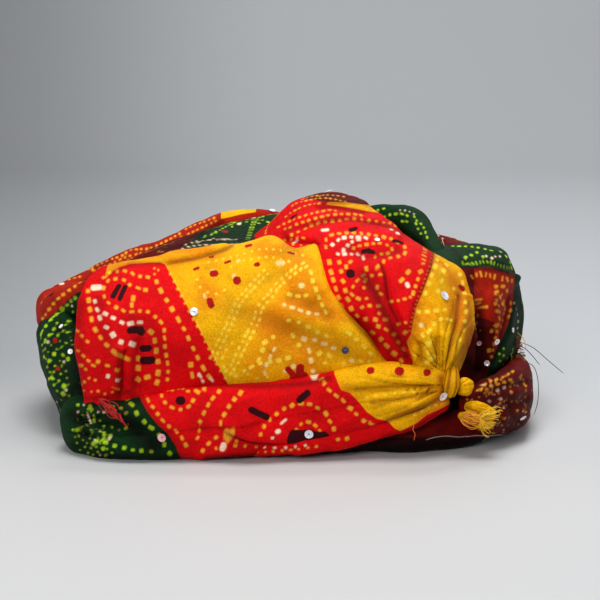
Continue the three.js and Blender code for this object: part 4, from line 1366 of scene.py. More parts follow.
SIDE_ROWS = [
    ("dot", 2.9, (479, 392, 488, 382, 501, 378, 515, 370)),
    ("dot", 2.9, (484, 392, 491, 387, 513, 379)),
    ("fine", 3.2, (519, 376, 524, 384, 526, 392, 524, 400)),
    ("pale fine", 4, (486, 398, 492, 404, 497, 411)),
    ("pale fine", 4, (499, 394, 506, 412)),
    ("fine", 4.2, (508, 388, 514, 396, 518, 406, 516, 416)),
    ("pale fine", 4.4, (494, 392, 508, 386)),
]

REAR_ROWS = [
    ("dot", 3, (76, 297, 51, 319, 45, 326, 41, 334)),
    ("twin", 1.9, (265, 216, 258, 218, 254, 222, 247, 242)),
    ("pale", 3, (183, 246, 190, 243, 207, 240, 239, 239)),
    ("pale", 3, (180, 250, 187, 247, 203, 245, 240, 244)),
    ("dot", 2.8, (203, 236, 210, 235, 227, 226, 237, 221)),
    ("dot", 2.6, (232, 228, 232, 225, 231, 222)),
]
REAR_MARKS = [
    ("pale", 246.5, 218, 3, 2.4, 0), ("pale", 253.5, 215, 2.6, 2, 0), ("pale", 239, 223.5, 2.4, 2.6, 0),
    ("red", 55, 340.5, 2.2, 2.6, 0), ("red", 58, 368.5, 2.2, 2.2, 0), ("red", 225, 231.5, 3.2, 1.4, 10),
]

WALL_DABS = [
    75, 298, 71, 301, 67, 305, 62, 309, 57, 314, 51, 319, 46, 326, 41, 334, 54, 329, 49, 335, 45, 341,
    69, 321, 68, 332, 49, 361, 54, 354, 63, 355, 68, 359, 52, 378, 64, 386, 63, 394, 44, 357, 62, 310,
    58, 335, 59, 419,
]
WALL_FLECKS = [
    45, 349, 65, 325, 71, 338, 62, 347, 60, 341, 57, 349, 62, 366, 66, 371, 61, 374, 69, 384, 57, 391,
    69, 396, 59, 381, 61, 400, 65, 406, 60, 410, 66, 414, 68, 421, 72, 399, 55, 366, 47, 367, 50, 372,
    73, 345, 74, 330, 73, 312, 57, 323, 42, 345, 41, 338, 43, 351, 46, 359, 48, 352, 51, 345, 66, 343,
    63, 331, 70, 352, 54, 372, 49, 379, 54, 385, 67, 378, 60, 361, 72, 320, 52, 334,
]
WALL_PALE = [
    61, 327, 71, 340, 64, 362, 66, 390, 57, 402, 72, 306, 48, 342,
]
BUNCH_DABS = [
    92, 411, 126, 413, 94, 420, 110, 436, 93, 444, 78, 405, 77, 430, 126, 428, 103, 449, 106, 455,
    121, 408, 104, 433,
]
BUNCH_FLECKS = [
    110, 406, 114, 406, 100, 421, 112, 427, 91, 430, 100, 431, 98, 437, 102, 440, 98, 452, 91, 448,
    77, 443, 75, 437, 85, 447, 88, 453, 93, 455, 90, 438, 85, 435, 83, 440, 78, 420, 86, 424, 84, 415,
    88, 409, 82, 427, 73, 430, 80, 450, 96, 447, 107, 449, 112, 453, 104, 426, 95, 426, 100, 443,
    106, 440, 79, 436, 92, 433, 87, 443, 119, 430,
]
BUNCH_PALE = [
    98, 412, 104, 412, 112, 412, 116, 416, 122, 420, 100, 431, 104, 436, 109, 439, 84, 405, 95, 440,
    100, 455, 89, 418, 78, 412,
]

RIDGE_ROWS = [
    ("dot", 3.3, (41, 321, 54, 303, 65, 293, 82, 281)),
    ("dot", 2.8, (67, 280, 82, 276)),
    ("dot", 3, (40, 306, 43, 299)),
    ("dot", 3.4, (92, 273, 93, 266)),
    ("dot", 2.7, (84, 270, 112, 259, 121, 256, 130, 250, 140, 249, 150, 248, 166, 241, 182, 232)),
    ("dot", 2.8, (92, 272, 115, 262, 126, 257, 137, 254, 148, 252, 160, 248, 184, 236)),
    ("dot", 2.9, (120, 264, 132, 259, 144, 256, 168, 249, 188, 239)),
    ("dot", 2.5, (184, 230, 192, 226, 216, 217)),
    ("dot", 2.5, (186, 235, 218, 220)),
]
RIDGE_MARKS = [
    ("pale", 61.5, 283.5, 2.8, 2.4, 20), ("pale", 152.5, 253, 3, 2.4, 10),
    ("dark", 50, 293, 3.4, 2.4, 30),
]
RIDGE_AREAS = [
    ("green", (36, 336, 45, 324.5, 53, 316, 61, 307, 69, 299.5, 78, 292, 92, 290, 92, 345, 30, 345)),
    ("yellow", (221, 210, 221, 219, 230, 217, 240, 214.5, 256, 212, 256, 200, 221, 200)),
]

CREST_ROWS = [
    ("dot", 2.4, (371, 214, 378, 210, 386, 208)),
    ("dot", 3, (382, 218, 389, 215, 394, 214, 403, 214, 410, 217)),
    ("dot", 2.8, (400, 222, 404, 221, 409, 222)),
    ("dot", 2.4, (413, 214, 417, 221, 423, 226, 428, 240)),
    ("dot", 2.4, (415, 221, 419, 231, 423, 236)),
    ("pale fine", 2.6, (398, 210, 408, 211, 416, 215)),
]
REAR_FOLD_ROWS = [
    ("fine", 3, (434, 226, 450, 236, 460, 240)),
    ("pale fine", 3.2, (434, 232, 440, 237, 446, 240)),
]

# Trims, on the front view. A sequin is the cloth that it is sewn to, its place, its diameter in
# millimetres and its tone: silver at 0; pink and dark at 1 and 2 are painted reflections on the silver,
# and white at 3 a painted highlight.

SEQUINS = [
    ("front_panel", 194.2, 312, 3.6, 0), ("front_panel", 345, 350, 3.2, 2),
    ("top_puff", 443.9, 296.3, 4.2, 0), ("top_puff", 377, 240.5, 2.4, 3),
    ("right_wrap", 487, 363, 2.6, 3), ("right_wrap", 496.3, 341.3, 3, 3),
    ("right_wrap", 512, 330, 2.4, 3), ("right_wrap", 478.8, 343, 2.4, 1),
    ("brim_roll", 442.5, 395.8, 4.2, 3), ("brim_roll", 309, 433.8, 3.8, 0),
    ("brim_roll", 162.2, 437.2, 3.8, 1), ("side_roll", 522.5, 417, 3.2, 3),
    ("rear_wrap", 70.7, 351.7, 2.4, 3), ("rear_wrap", 61.7, 327, 2.4, 3),
    ("ridge_fold", 152.5, 253, 2.6, 3), ("crest_fold", 444, 243, 4, 3), ("rear_wrap", 110, 300, 3.4, 0),
]
BACK_SEQUINS = [
    ("rear_wrap", 0.55, 0.2), ("rear_wrap", 0.63, 0.35), ("rear_wrap", 0.72, 0.15),
    ("rear_wrap", 0.78, 0.4), ("rear_wrap", 0.9, 0.25), ("side_roll", 0.5, 0.1), ("side_roll", 0.7, 0.12),
    ("ridge_fold", 0.9, 0.2), ("top_puff", 0.72, 0.5), ("top_puff", 0.85, 0.3),
]
# A thread is its colour, its points on the front view and, at each, how far back it hangs, in millimetres.
THREADS = [
    ("dark", [(520, 342, -20), (530, 346, -19), (537.5, 351, -18), (550, 362, -16), (563.8, 373.5, -15)]),
    ("dark", [(519, 346, -22), (525.6, 349, -22), (532.5, 356, -21), (539.8, 365, -20)]),
    ("dark", [(526, 362, -28), (533, 366, -28), (537, 375, -29), (538.5, 389, -30), (537.5, 403, -31),
              (534, 415, -31)]),
    ("orange", [(414, 425, -94), (413, 430, -94.5), (415, 434, -94), (414, 440, -93)]),
    ("pale", [(426, 440, -84), (434, 437.5, -83), (446, 436, -81), (458, 437, -80), (468, 436, -78)]),
    ("pale", [(466, 437, -78), (476, 435.5, -77), (488, 436, -74), (497, 435, -71), (504, 435, -70)]),
    ("gold", [(517, 332, -25), (524, 340, -23), (526, 350, -24)]),
]
# A fringe is its colour, its number of threads, their thickness in millimetres, and for its root
# line and its tip line the two ends on the front view with how far back they are.
FRINGES = [
    ("bright", 70, 0.38, [(478, 417, -89), (481, 422, -89)], [(501, 410, -87), (489, 434, -85)]),
    ("gold", 60, 0.34, [(464, 412, -89), (460, 420, -88)], [(487, 419, -89), (484, 428, -86)]),
    ("orange", 14, 0.30, [(462, 414, -88), (460, 420, -88)], [(474, 420, -88), (472, 427, -86)]),
    ("brown", 60, 0.30, [(512, 336, -22), (519, 360, -22)], [(520, 337, -23), (526, 360, -23)]),
    ("lime", 26, 0.24, [(505, 338, -24), (508, 352, -26)], [(513, 336, -27), (512, 358, -28)]),
    ("red", 16, 0.34, [(98.5, 398, -89), (100, 399, -90)], [(123, 424, -94), (125, 423, -94)]),
]


# Finishes

def sidebar_length(name, description, default):
    """A length for the sidebar, in metres."""
    return FloatProperty(name=name, description=description, default=default, unit="LENGTH")


def sidebar_colour(name, description, default):
    """A colour for the sidebar."""
    return FloatVectorProperty(name=name, description=description, default=default, subtype="COLOR")


class PagriSizes(bpy.types.PropertyGroup):
    """Sizes of the cloth, its print and its trims."""

    cloth: sidebar_length("Cloth", "Thickness of a doubled layer of cotton", 0.0016)
    lining: sidebar_length("Lining", "Thickness of the inner cap", 0.002)
    unevenness: sidebar_length("Unevenness", "Depth of the soft unevenness of the cloth", 0.0005)
    weave: sidebar_length("Weave", "Pitch of the cotton's threads", 0.0007)
    sequin: sidebar_length("Sequin", "Diameter of the sequins on the hidden sides", 0.0034)
    thread: sidebar_length("Thread", "Thickness of a loose thread", 0.00035)


class PagriColours(bpy.types.PropertyGroup):
    """Colours of the dyed cloth and its trims, and of the painted light and shade on some folds."""

    red: sidebar_colour("Red", "Ground of the red cloth", (0.68, 0.0, 0.002))
    yellow: sidebar_colour("Yellow", "Ground of the yellow cloth", (0.88, 0.43, 0.0))
    green: sidebar_colour("Green", "Ground of the green cloth", (0.0015, 0.027, 0.004))
    maroon: sidebar_colour("Maroon", "Ground of the dark red cloth", (0.12, 0.001, 0.0))
    # Painted light: a lighter copy of the maroon, for dark red folds that catch the light
    rust: sidebar_colour("Rust", "Ground of the lit folds of dark red cloth", (0.38, 0.010, 0.0))
    # Painted shadow: near black, for the roll under the right of the brim, which lies in the shadow of the
    # lifted hem
    shadowed: sidebar_colour("Shadowed", "Ground of the cloth rolled in underneath", (0.018, 0.001, 0.001))
    amber: sidebar_colour("Amber", "Deeper dye in the yellow cloth", (0.78, 0.25, 0.0))
    gold_dot: sidebar_colour("Gold dot", "Dots on red cloth", (0.90, 0.37, 0.025))
    yellow_dot: sidebar_colour("Yellow dot", "Dots on yellow cloth", (0.98, 0.68, 0.045))
    lime_dot: sidebar_colour("Lime dot", "Dots on green cloth", (0.40, 0.66, 0.015))
    pale_dot: sidebar_colour("Pale dot", "Undyed dots", (0.93, 0.72, 0.50))
    dark_mark: sidebar_colour("Dark mark", "Overdyed spots and bars", (0.030, 0.001, 0.003))
    red_mark: sidebar_colour("Red mark", "Red spots on yellow cloth", (0.42, 0.006, 0.004))
    lining: sidebar_colour("Lining", "The inner cap", (0.10, 0.008, 0.007))


def sizes():
    """The sizes that the sidebar shows."""
    return bpy.context.scene.pagri_sizes


def colours():
    """The colours that the sidebar shows."""
    return bpy.context.scene.pagri_colours


class Tree:
    """A node tree, with a short way to add a node and link its inputs."""

    def __init__(self, tree):
        self.tree = tree

    def add(self, kind, inputs=(), **settings):
        """Adds a node. An input is a value, or an output of another node that is linked to it."""
        node = self.tree.nodes.new(kind)
        for key, value in settings.items():
            setattr(node, key, value)
        for key, value in dict(inputs).items():
            if isinstance(value, bpy.types.NodeSocket):
                self.tree.links.new(value, node.inputs[key])
            else:
                node.inputs[key].default_value = value
        return node

    def math(self, operation, a, b=0.0):
        """The output of a sum of two numbers."""
        return self.add("ShaderNodeMath", {0: a, 1: b}, operation=operation).outputs[0]

    def mix(self, share, a, b):
        """The output of a mix of two colours."""
        node = self.add("ShaderNodeMix", {"Factor": share, 6: a, 7: b}, data_type="RGBA")
        return node.outputs[2]

    def ramp(self, value, low, high, from_value=0.0, to_value=1.0):
        """The output of a smooth step from one value to another."""
        return self.add("ShaderNodeMapRange", {"Value": value, "From Min": low, "From Max": high,
                                               "To Min": from_value, "To Max": to_value},
                        interpolation_type="SMOOTHSTEP").outputs["Result"]

    def noise(self, place, scale, detail=2.0, roughness=0.5):
        """The output of soft noise from 0 to 1."""
        return self.add("ShaderNodeTexNoise", {"Vector": place, "Scale": scale, "Detail": detail,
                                               "Roughness": roughness}).outputs[0]

    def attribute(self, name):
        """The output of a piece's field."""
        return self.add("ShaderNodeAttribute", attribute_name=name).outputs["Fac"]

    def link(self, output, to):
        """Links an output to an input."""
        self.tree.links.new(output, to)


def group(name, inputs, outputs):
    """A new shader node group with named sockets: its tree, its input node and its output node."""
    tree = bpy.data.node_groups.new(name, "ShaderNodeTree")
    for label, kind, value in inputs:
        socket = tree.interface.new_socket(label, in_out="INPUT", socket_type=kind)
        socket.default_value = value
    for label, kind in outputs:
        tree.interface.new_socket(label, in_out="OUTPUT", socket_type=kind)
    return Tree(tree), tree.nodes.new("NodeGroupInput"), tree.nodes.new("NodeGroupOutput")


def rgba(colour):
    """A colour with its alpha."""
    return (*colour, 1.0)


DEEP_SHADE = (0.26, 0.09, 0.09)  # what is left of red, green and blue light in the deepest folds


def print_group():
    """The tie-dyed print: grounds, dots and marks from a piece's fields, soft dyed edges, painted shade."""
    c = colours()
    number, colour = "NodeSocketFloat", "NodeSocketColor"
    inputs = [
        ("Yellow Ground", number, FAR), ("Green Ground", number, FAR), ("Maroon Ground", number, FAR),
        ("Dots", number, FAR), ("Pale Dots", number, FAR), ("Dark Marks", number, FAR),
        ("Red Marks", number, FAR), ("Bleed", number, 0.0), ("Stain", number, 0.0), ("Shade", number, 0.0),
        ("Amber", colour, rgba(c.amber)), ("Red", colour, rgba(c.red)), ("Yellow", colour, rgba(c.yellow)),
        ("Green", colour, rgba(c.green)),
        ("Maroon", colour, rgba(c.maroon)), ("Gold Dot", colour, rgba(c.gold_dot)),
        ("Yellow Dot", colour, rgba(c.yellow_dot)), ("Lime Dot", colour, rgba(c.lime_dot)),
        ("Pale Dot", colour, rgba(c.pale_dot)), ("Dark Mark", colour, rgba(c.dark_mark)),
        ("Red Mark", colour, rgba(c.red_mark)),
    ]
    t, given, out = group("Tie-dyed print and painted shade", inputs, [("Color", colour)])
    g = given.outputs
    bleed = g["Bleed"]

    def inside(distance, soft=0.16, shift=0.0):
        """1 inside the outline at a distance of shift and 0 outside it, with a soft edge."""
        moved = t.math("ADD", distance, t.math("MULTIPLY", bleed, 0.5))
        return t.ramp(moved, shift + soft, shift - soft)

    yellow = inside(g["Yellow Ground"])
    green = inside(g["Green Ground"])
    maroon = inside(g["Maroon Ground"])
    ground = t.mix(maroon, g["Red"], g["Maroon"])
    ground = t.mix(yellow, ground, t.mix(g["Stain"], g["Yellow"], g["Amber"]))
    ground = t.mix(green, ground, g["Green"])

    def dotted(distance, below, dot, halo):
        """Dots on the colour below, with a halo of both round each."""
        rim = t.mix(inside(distance, 0.3, 0.1), below, t.mix(halo, below, dot))
        return t.mix(inside(distance, 0.3, -0.2), rim, dot)

    dot = t.mix(green, t.mix(yellow, g["Gold Dot"], g["Yellow Dot"]), g["Lime Dot"])
    painted = dotted(g["Dots"], ground, dot, 0.55)
    pale = t.mix(yellow, g["Pale Dot"], t.mix(0.6, g["Pale Dot"], g["Yellow Dot"]))
    painted = dotted(g["Pale Dots"], painted, pale, 0.5)
    painted = t.mix(inside(g["Red Marks"], 0.2), painted, g["Red Mark"])
    painted = t.mix(inside(g["Dark Marks"], 0.28), painted, g["Dark Mark"])
    # Painted shade: the Shade input darkens the colour towards DEEP_SHADE in folds and crevices
    deep = t.add("ShaderNodeVectorMath", {0: painted, 1: DEEP_SHADE}, operation="MULTIPLY").outputs[0]
    painted = t.mix(g["Shade"], painted, deep)
    t.link(painted, out.inputs["Color"])
    return t.tree


def weave_group():
    """Plain woven cotton: threads both ways on the piece's own lengths, and a soft crumple."""
    number, vector = "NodeSocketFloat", "NodeSocketVector"
    t, given, out = group("Woven cotton", [("Lengths", vector, (0, 0, 0)), ("Place", vector, (0, 0, 0)),
                                           ("Pitch", number, 0.0007)],
                          [("Height", number), ("Bleed", number), ("Shade", number), ("Stain", number)])
    scaled = t.add("ShaderNodeVectorMath", {0: given.outputs["Lengths"]}, operation="DIVIDE")
    pitch = t.add("ShaderNodeCombineXYZ", {0: given.outputs["Pitch"], 1: given.outputs["Pitch"], 2: 1.0})
    t.link(pitch.outputs[0], scaled.inputs[1])
    parts = t.add("ShaderNodeSeparateXYZ", {0: scaled.outputs[0]})
    warp = t.math("SINE", t.math("MULTIPLY", parts.outputs[0], 2 * math.pi))
    weft = t.math("SINE", t.math("MULTIPLY", parts.outputs[1], 2 * math.pi))
    threads = t.math("MULTIPLY", warp, weft)
    place = given.outputs["Place"]
    grain = t.noise(place, 1500.0)
    height = t.math("ADD", t.math("MULTIPLY", threads, 0.12), t.noise(place, 260.0, 3.0, 0.55))
    t.link(t.math("ADD", height, t.math("MULTIPLY", grain, 0.35)), out.inputs["Height"])
    bleed = t.math("SUBTRACT", grain, 0.5)
    t.link(bleed, out.inputs["Bleed"])
    speckle = t.math("ADD", t.math("MULTIPLY", bleed, 0.95), t.math("MULTIPLY", threads, 0.09))
    t.link(t.ramp(t.noise(place, 38.0, 4.0), 0.42, 0.62), out.inputs["Stain"])
    tone = t.ramp(t.noise(place, 70.0, 3.0), 0.3, 0.7, 0.86, 1.06)
    t.link(t.math("ADD", tone, speckle), out.inputs["Shade"])
    return t.tree


def cloth_material(name, ground=None):
    """Printed cotton. A ground names the colour that the print starts from where it isn't red."""
    material = bpy.data.materials.new(name)
    material.use_nodes = True
    t = Tree(material.node_tree)
    t.tree.nodes.clear()
    output = t.add("ShaderNodeOutputMaterial")
    shader = t.add("ShaderNodeBsdfPrincipled", {"Roughness": 0.62, "Specular IOR Level": 0.08})
    place = t.add("ShaderNodeTexCoord").outputs["Object"]
    lengths = t.add("ShaderNodeUVMap", uv_map="cloth").outputs[0]
    weave = t.add("ShaderNodeGroup", node_tree=groups()["weave"])
    t.link(lengths, weave.inputs["Lengths"])
    t.link(place, weave.inputs["Place"])
    weave.inputs["Pitch"].default_value = sizes().weave
    dyed = t.add("ShaderNodeGroup", node_tree=groups()["print"])
    for key, socket in FIELDS.items():
        t.link(t.attribute(key), dyed.inputs[socket])
    t.link(weave.outputs["Bleed"], dyed.inputs["Bleed"])
    t.link(weave.outputs["Stain"], dyed.inputs["Stain"])
    t.link(t.attribute("shade"), dyed.inputs["Shade"])
    if ground:
        dyed.inputs["Red"].default_value = rgba(getattr(colours(), ground))
    if ground == "green":
        dyed.inputs["Gold Dot"].default_value = rgba(colours().lime_dot)
    if ground == "yellow":
        dyed.inputs["Gold Dot"].default_value = rgba(colours().yellow_dot)
    shade = t.add("ShaderNodeVectorMath", {0: dyed.outputs["Color"]}, operation="SCALE")
    t.link(weave.outputs["Shade"], shade.inputs["Scale"])
    t.link(shade.outputs[0], shader.inputs["Base Color"])
    bump = t.add("ShaderNodeBump", {"Strength": 0.8, "Distance": 0.0008, "Height": weave.outputs["Height"]})
    t.link(bump.outputs[0], shader.inputs["Normal"])
    rough = t.ramp(weave.outputs["Shade"], 0.8, 1.1, 0.68, 0.56)
    t.link(rough, shader.inputs["Roughness"])
    t.link(shader.outputs[0], output.inputs[0])
    return material


GROUPS = {}


def groups():
    """The shared node groups, made once."""
    if not GROUPS:
        GROUPS["print"] = print_group()
        GROUPS["weave"] = weave_group()
    return GROUPS


def material(name):
    """One of the turban's cloth finishes, made when it is first asked for."""
    if name not in bpy.data.materials:
        ground = name.split()[0].lower()
        cloth_material(name, None if ground == "red" else ground)
    return bpy.data.materials[name]


def settle(piece, finish, slot, *nodes):
    """Gives a piece its finish, and says what it rides on and stands for."""
    piece.data.materials.append(material(finish))
    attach(piece, "root")
    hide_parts(*nodes)
    return piece


CLOTHS = {}


def keep(name, cloth):
    """Keeps a cloth, so that its trims can find their places on it."""
    CLOTHS[name] = cloth
    return cloth


def off_view(spots):
    """Points in metres at places across and down the front view, each as far back as it says."""
    spots = np.array(spots, float)
    scale = SENSOR / CAMERA_LENS / VIEW_SIZE
    rays = -CAMERA_BACK + np.outer((spots[:, 0] - VIEW_SIZE / 2) * scale, [1, 0, 0])
    rays = rays + np.outer((VIEW_SIZE / 2 - spots[:, 1]) * scale, CAMERA_UP)
    reach = (spots[:, 2] * MM - CAMERA_PLACE[1]) / rays[:, 1]
    points = CAMERA_PLACE + rays * reach[:, None]
    points[:, 2] = np.maximum(points[:, 2], LEAST_HEIGHT)
    return points


def tinted(piece, tones):
    """Gives each point of a piece a colour of its own."""
    colour = piece.data.attributes.new("tone", "FLOAT_COLOR", "POINT")
    with_alpha = np.column_stack([tones, np.ones(len(tones))])
    colour.data.foreach_set("color", with_alpha.astype(np.float32).ravel())
    return piece


def copied(faces, count, size):
    """The faces of many like meshes of a number of points each, one after the other."""
    return (faces[None] + (np.arange(count) * size)[:, None, None]).reshape(-1, faces.shape[1])


def hairs(name, lines, thick, tones):
    """Thin round threads: a tube of five sides along each of the lines, drawn in to a point at its end.

    lines is (number, points, 3) in metres and thick the radius in metres for each thread.
    """
    number, length = lines.shape[:2]
    sides = 5
    forward = unit(np.gradient(lines, axis=1))
    first = unit(np.cross(forward, [0.3, 0.5, 0.81]))
    second = np.cross(forward, first)
    turn = 2 * np.pi * np.arange(sides) / sides
    radius = thick[:, None] * np.sqrt(np.clip(1 - np.linspace(-0.98, 0.98, length) ** 8, 0.02, 1))
    ring = first[:, :, None] * np.cos(turn)[:, None] + second[:, :, None] * np.sin(turn)[:, None]
    points = (lines[:, :, None] + ring * radius[..., None, None]).reshape(-1, 3)
    quads = grid_faces(length, sides, ring=True)
    faces = copied(quads, number, length * sides)
    loop = np.arange(sides)
    starts = np.arange(number)[:, None] * length * sides
    caps = np.concatenate([starts + loop[::-1], starts + (length - 1) * sides + loop])
    if points_inward(points[: length * sides], quads):
        faces, caps = faces[:, ::-1], caps[:, ::-1]
    made = make_mesh(name, points, [faces, caps])
    return tinted(made, np.repeat(tones, length * sides, axis=0))


def uneven(cloth, seed, share=1.0):
    """Adds soft unevenness, in two sizes."""
    depth = sizes().unevenness * share
    points = cloth.points
    cloth.push(ripples(points, 0.034, depth, seed) + ripples(points, 0.011, 0.35 * depth, seed + 50))


# Pieces

class PAGRI_OT_inner_cap(bpy.types.Operator):
    """Makes the hollow inner cap that the cloth is wound over"""

    bl_idname = "pagri.inner_cap"
    bl_label = "Inner cap"

    def execute(self, context):
        rise = np.linspace(0, np.pi / 2, 40)[:, None]
        turn = (2 * np.pi * np.arange(160) / 160)[None, :]
        shrink = np.cos(rise) ** (2 / CAP["fullness"])
        height = np.sin(rise) ** (2 / CAP["fullness"])
        wide = np.sign(np.cos(turn)) * np.abs(np.cos(turn)) ** (2 / CAP["squareness"])
        deep = np.sign(np.sin(turn)) * np.abs(np.sin(turn)) ** (2 / CAP["squareness"])
        gathers = 0.5 * smooth_step(0.2, 1.3, rise) * np.sin(22 * turn + 1.4 * np.sin(3 * turn))

        def skin(past, pleated):
            lift = gathers * pleated * np.clip(shrink * 3, 0, 1)
            return np.stack([
                (CAP["half_width"] + past + lift) * shrink * wide,
                (CAP["half_depth"] + past + lift) * shrink * deep,
                CAP["hem"] + (CAP["height"] - CAP["hem"] + past) * height + 0 * turn,
            ], axis=-1)

        thick = sizes().lining / MM
        outer, inner = skin(thick, 0.0), skin(0.0, 1.0)
        points = (np.concatenate([inner[::-1], outer]) - FOOTPRINT) * MM
        cloth = Cloth(points, ring=True)
        cap = tube("inner_cap_cloth", cloth)
        settle(cap, "Lining cotton", "lining_maroon", "inner_cap")
        return {"FINISHED"}


def dressed(cloth, seed, parts, share=1.0, rows_seed=None):
    """Gives a cloth what the parts name: its unevenness, folds, gathers, painted shade, grounds, rows and
    marks.
    """
    uneven(cloth, seed, share)
    for table, seen in ((parts.get("folds"), True), (parts.get("back folds"), False)):
        if table:
            fold(cloth, table, seen)
    gathers(cloth, parts.get("gathers", []))
    shadows(cloth, parts.get("shadows", []))
    grounds(cloth, parts.get("areas", []))
    grounds(cloth, parts.get("back", []), seen=False)
    dot_rows(cloth, parts.get("rows", []), seed + 1 if rows_seed is None else rows_seed)
    spots(cloth, parts.get("marks", []))
    return cloth


def wall_print(cloth):
    """The close lime print of the left side, which runs over the wrap and the lower side of the ridge."""
    dabs(cloth, "dots", WALL_DABS, 1.9, 16)
    dabs(cloth, "dots", WALL_FLECKS, 1.2, 17)
    dabs(cloth, "pale", WALL_PALE, 1.3, 18)


class PAGRI_OT_rear_wrap(bpy.types.Operator):
    """Makes the wrap that covers the left side, the back and the low top"""

    bl_idname = "pagri.rear_wrap"
    bl_label = "Rear wrap"

    def execute(self, context):
        cloth = dressed(layer(REAR_WRAP, 288, 160), 11, {
            "folds": REAR_FOLDS, "back folds": BACK_FOLDS, "shadows": REAR_SHADOWS, "areas": REAR_AREAS,
            "back": BACK_AREAS, "rows": REAR_ROWS, "marks": REAR_MARKS,
        })
        dot_rows(cloth, BACK_ROWS, 14, seen=False)
        motifs(cloth, 21, 15, charted=[(30, 285, 80, 440), (170, 205, 275, 260)])
        wall_print(cloth)
        wrap = shell("rear_wrap_cloth", keep("rear_wrap", cloth), sizes().cloth)
        settle(wrap, "Red cotton", "print_green", "rear_wrap")
        return {"FINISHED"}


class PAGRI_OT_right_wrap(bpy.types.Operator):
    """Makes the wrap that hangs down the right side"""

    bl_idname = "pagri.right_wrap"
    bl_label = "Right wrap"

    def execute(self, context):
        cloth = dressed(layer(RIGHT_WRAP, 232, 160), 21, {
            "folds": RIGHT_FOLDS, "shadows": RIGHT_SHADOWS, "areas": RIGHT_AREAS, "back": RIGHT_BACK,
            "rows": RIGHT_ROWS, "marks": RIGHT_MARKS,
        })
        motifs(cloth, 20, 23, charted=[(400, 200, 560, 420)])
        wrap = shell("right_wrap_cloth", keep("right_wrap", cloth), sizes().cloth)
        settle(wrap, "Rust cotton", "print_green", "right_wrap")
        return {"FINISHED"}


class PAGRI_OT_front_panel(bpy.types.Operator):
    """Makes the panel that is laid over the front"""

    bl_idname = "pagri.front_panel"
    bl_label = "Front panel"

    def execute(self, context):
        cloth = dressed(layer(FRONT_PANEL, 248, 168), 31, {
            "folds": PANEL_FOLDS, "shadows": PANEL_SHADOWS, "areas": PANEL_AREAS, "back": PANEL_BACK,
            "rows": PANEL_ROWS, "marks": PANEL_MARKS,
        }, share=0.8)
        panel = shell("front_panel_cloth", keep("front_panel", cloth), sizes().cloth)
        settle(panel, "Red cotton", "print_yellow", "front_panel")
        return {"FINISHED"}


class PAGRI_OT_top_puff(bpy.types.Operator):
    """Makes the full, puffed pleat over the top and the front right"""

    bl_idname = "pagri.top_puff"
    bl_label = "Top puff"

    def execute(self, context):
        cloth = dressed(layer(TOP_PUFF, 336, 168), 41, {
            "folds": PUFF_FOLDS, "gathers": PUFF_GATHERS, "shadows": PUFF_SHADOWS, "areas": PUFF_AREAS,
            "back": PUFF_BACK, "rows": PUFF_ROWS, "marks": PUFF_MARKS,
        })
        motifs(cloth, 19, 43, low=(0.5, 0.04), high=(0.98, 0.96), charted=[(200, 180, 500, 400)])
        puff = shell("top_puff_cloth", keep("top_puff", cloth), sizes().cloth)
        settle(puff, "Red cotton", "print_red", "top_puff")
        return {"FINISHED"}


class PAGRI_OT_brim(bpy.types.Operator):
    """Makes the brim roll and the two rolls under its right half"""

    bl_idname = "pagri.brim"
    bl_label = "Brim rolls"

    def execute(self, context):
        cloth = dressed(roll(BRIM_ROLL, 288, 120), 51, {
            "folds": BRIM_FOLDS, "gathers": BRIM_GATHERS, "shadows": BRIM_SHADOWS, "areas": BRIM_AREAS,
            "back": BRIM_BACK, "rows": BRIM_ROWS, "marks": BRIM_MARKS,
        })
        dabs(cloth, "dots", BUNCH_DABS, 1.6, 53)
        dabs(cloth, "dots", BUNCH_FLECKS, 1.0, 55)
        dabs(cloth, "pale", BUNCH_PALE, 1.1, 56)
        made = tube("brim_roll_cloth", keep("brim_roll", cloth))
        piece = settle(made, "Red cotton", "print_red", "brim_roll")
        for name, node, table, seed, finish, areas in (
            ("under_fold_cloth", "under_fold", UNDER_FOLD, 54, "Red cotton", UNDER_AREAS),
            # The under roll's finish is painted shadow: near black, for the shadow under the lifted hem
            ("under_roll_cloth", "under_roll", UNDER_ROLL, 57, "Shadowed cotton", RECESS_AREAS),
        ):
            parts = {"shadows": UNDER_SHADOWS, "areas": areas, "rows": UNDER_ROWS}
            cloth = dressed(roll(table, 160, 56), seed, parts, share=1.4, rows_seed=seed)
            piece = settle(tube(name, cloth), finish, "print_red", node)
        return {"FINISHED"}


class PAGRI_OT_side_roll(bpy.types.Operator):
    """Makes the roll that goes on round the right side and the back"""

    bl_idname = "pagri.side_roll"
    bl_label = "Side roll"

    def execute(self, context):
        parts = {"folds": SIDE_FOLDS, "shadows": SIDE_SHADOWS, "rows": SIDE_ROWS}
        cloth = dressed(roll(SIDE_ROLL, 352, 96), 61, parts, share=1.4)
        scatter(cloth, "dots", 100, 0.9, 63, (466, 375, 535, 434))
        scatter(cloth, "pale", 26, 0.7, 65, (476, 384, 526, 430))
        motifs(cloth, 17, 64, low=(0.2, 0.0), charted=[(440, 360, 560, 450)])
        made = tube("side_roll_cloth", keep("side_roll", cloth))
        piece = settle(made, "Maroon cotton", "print_maroon", "side_roll")
        return {"FINISHED"}


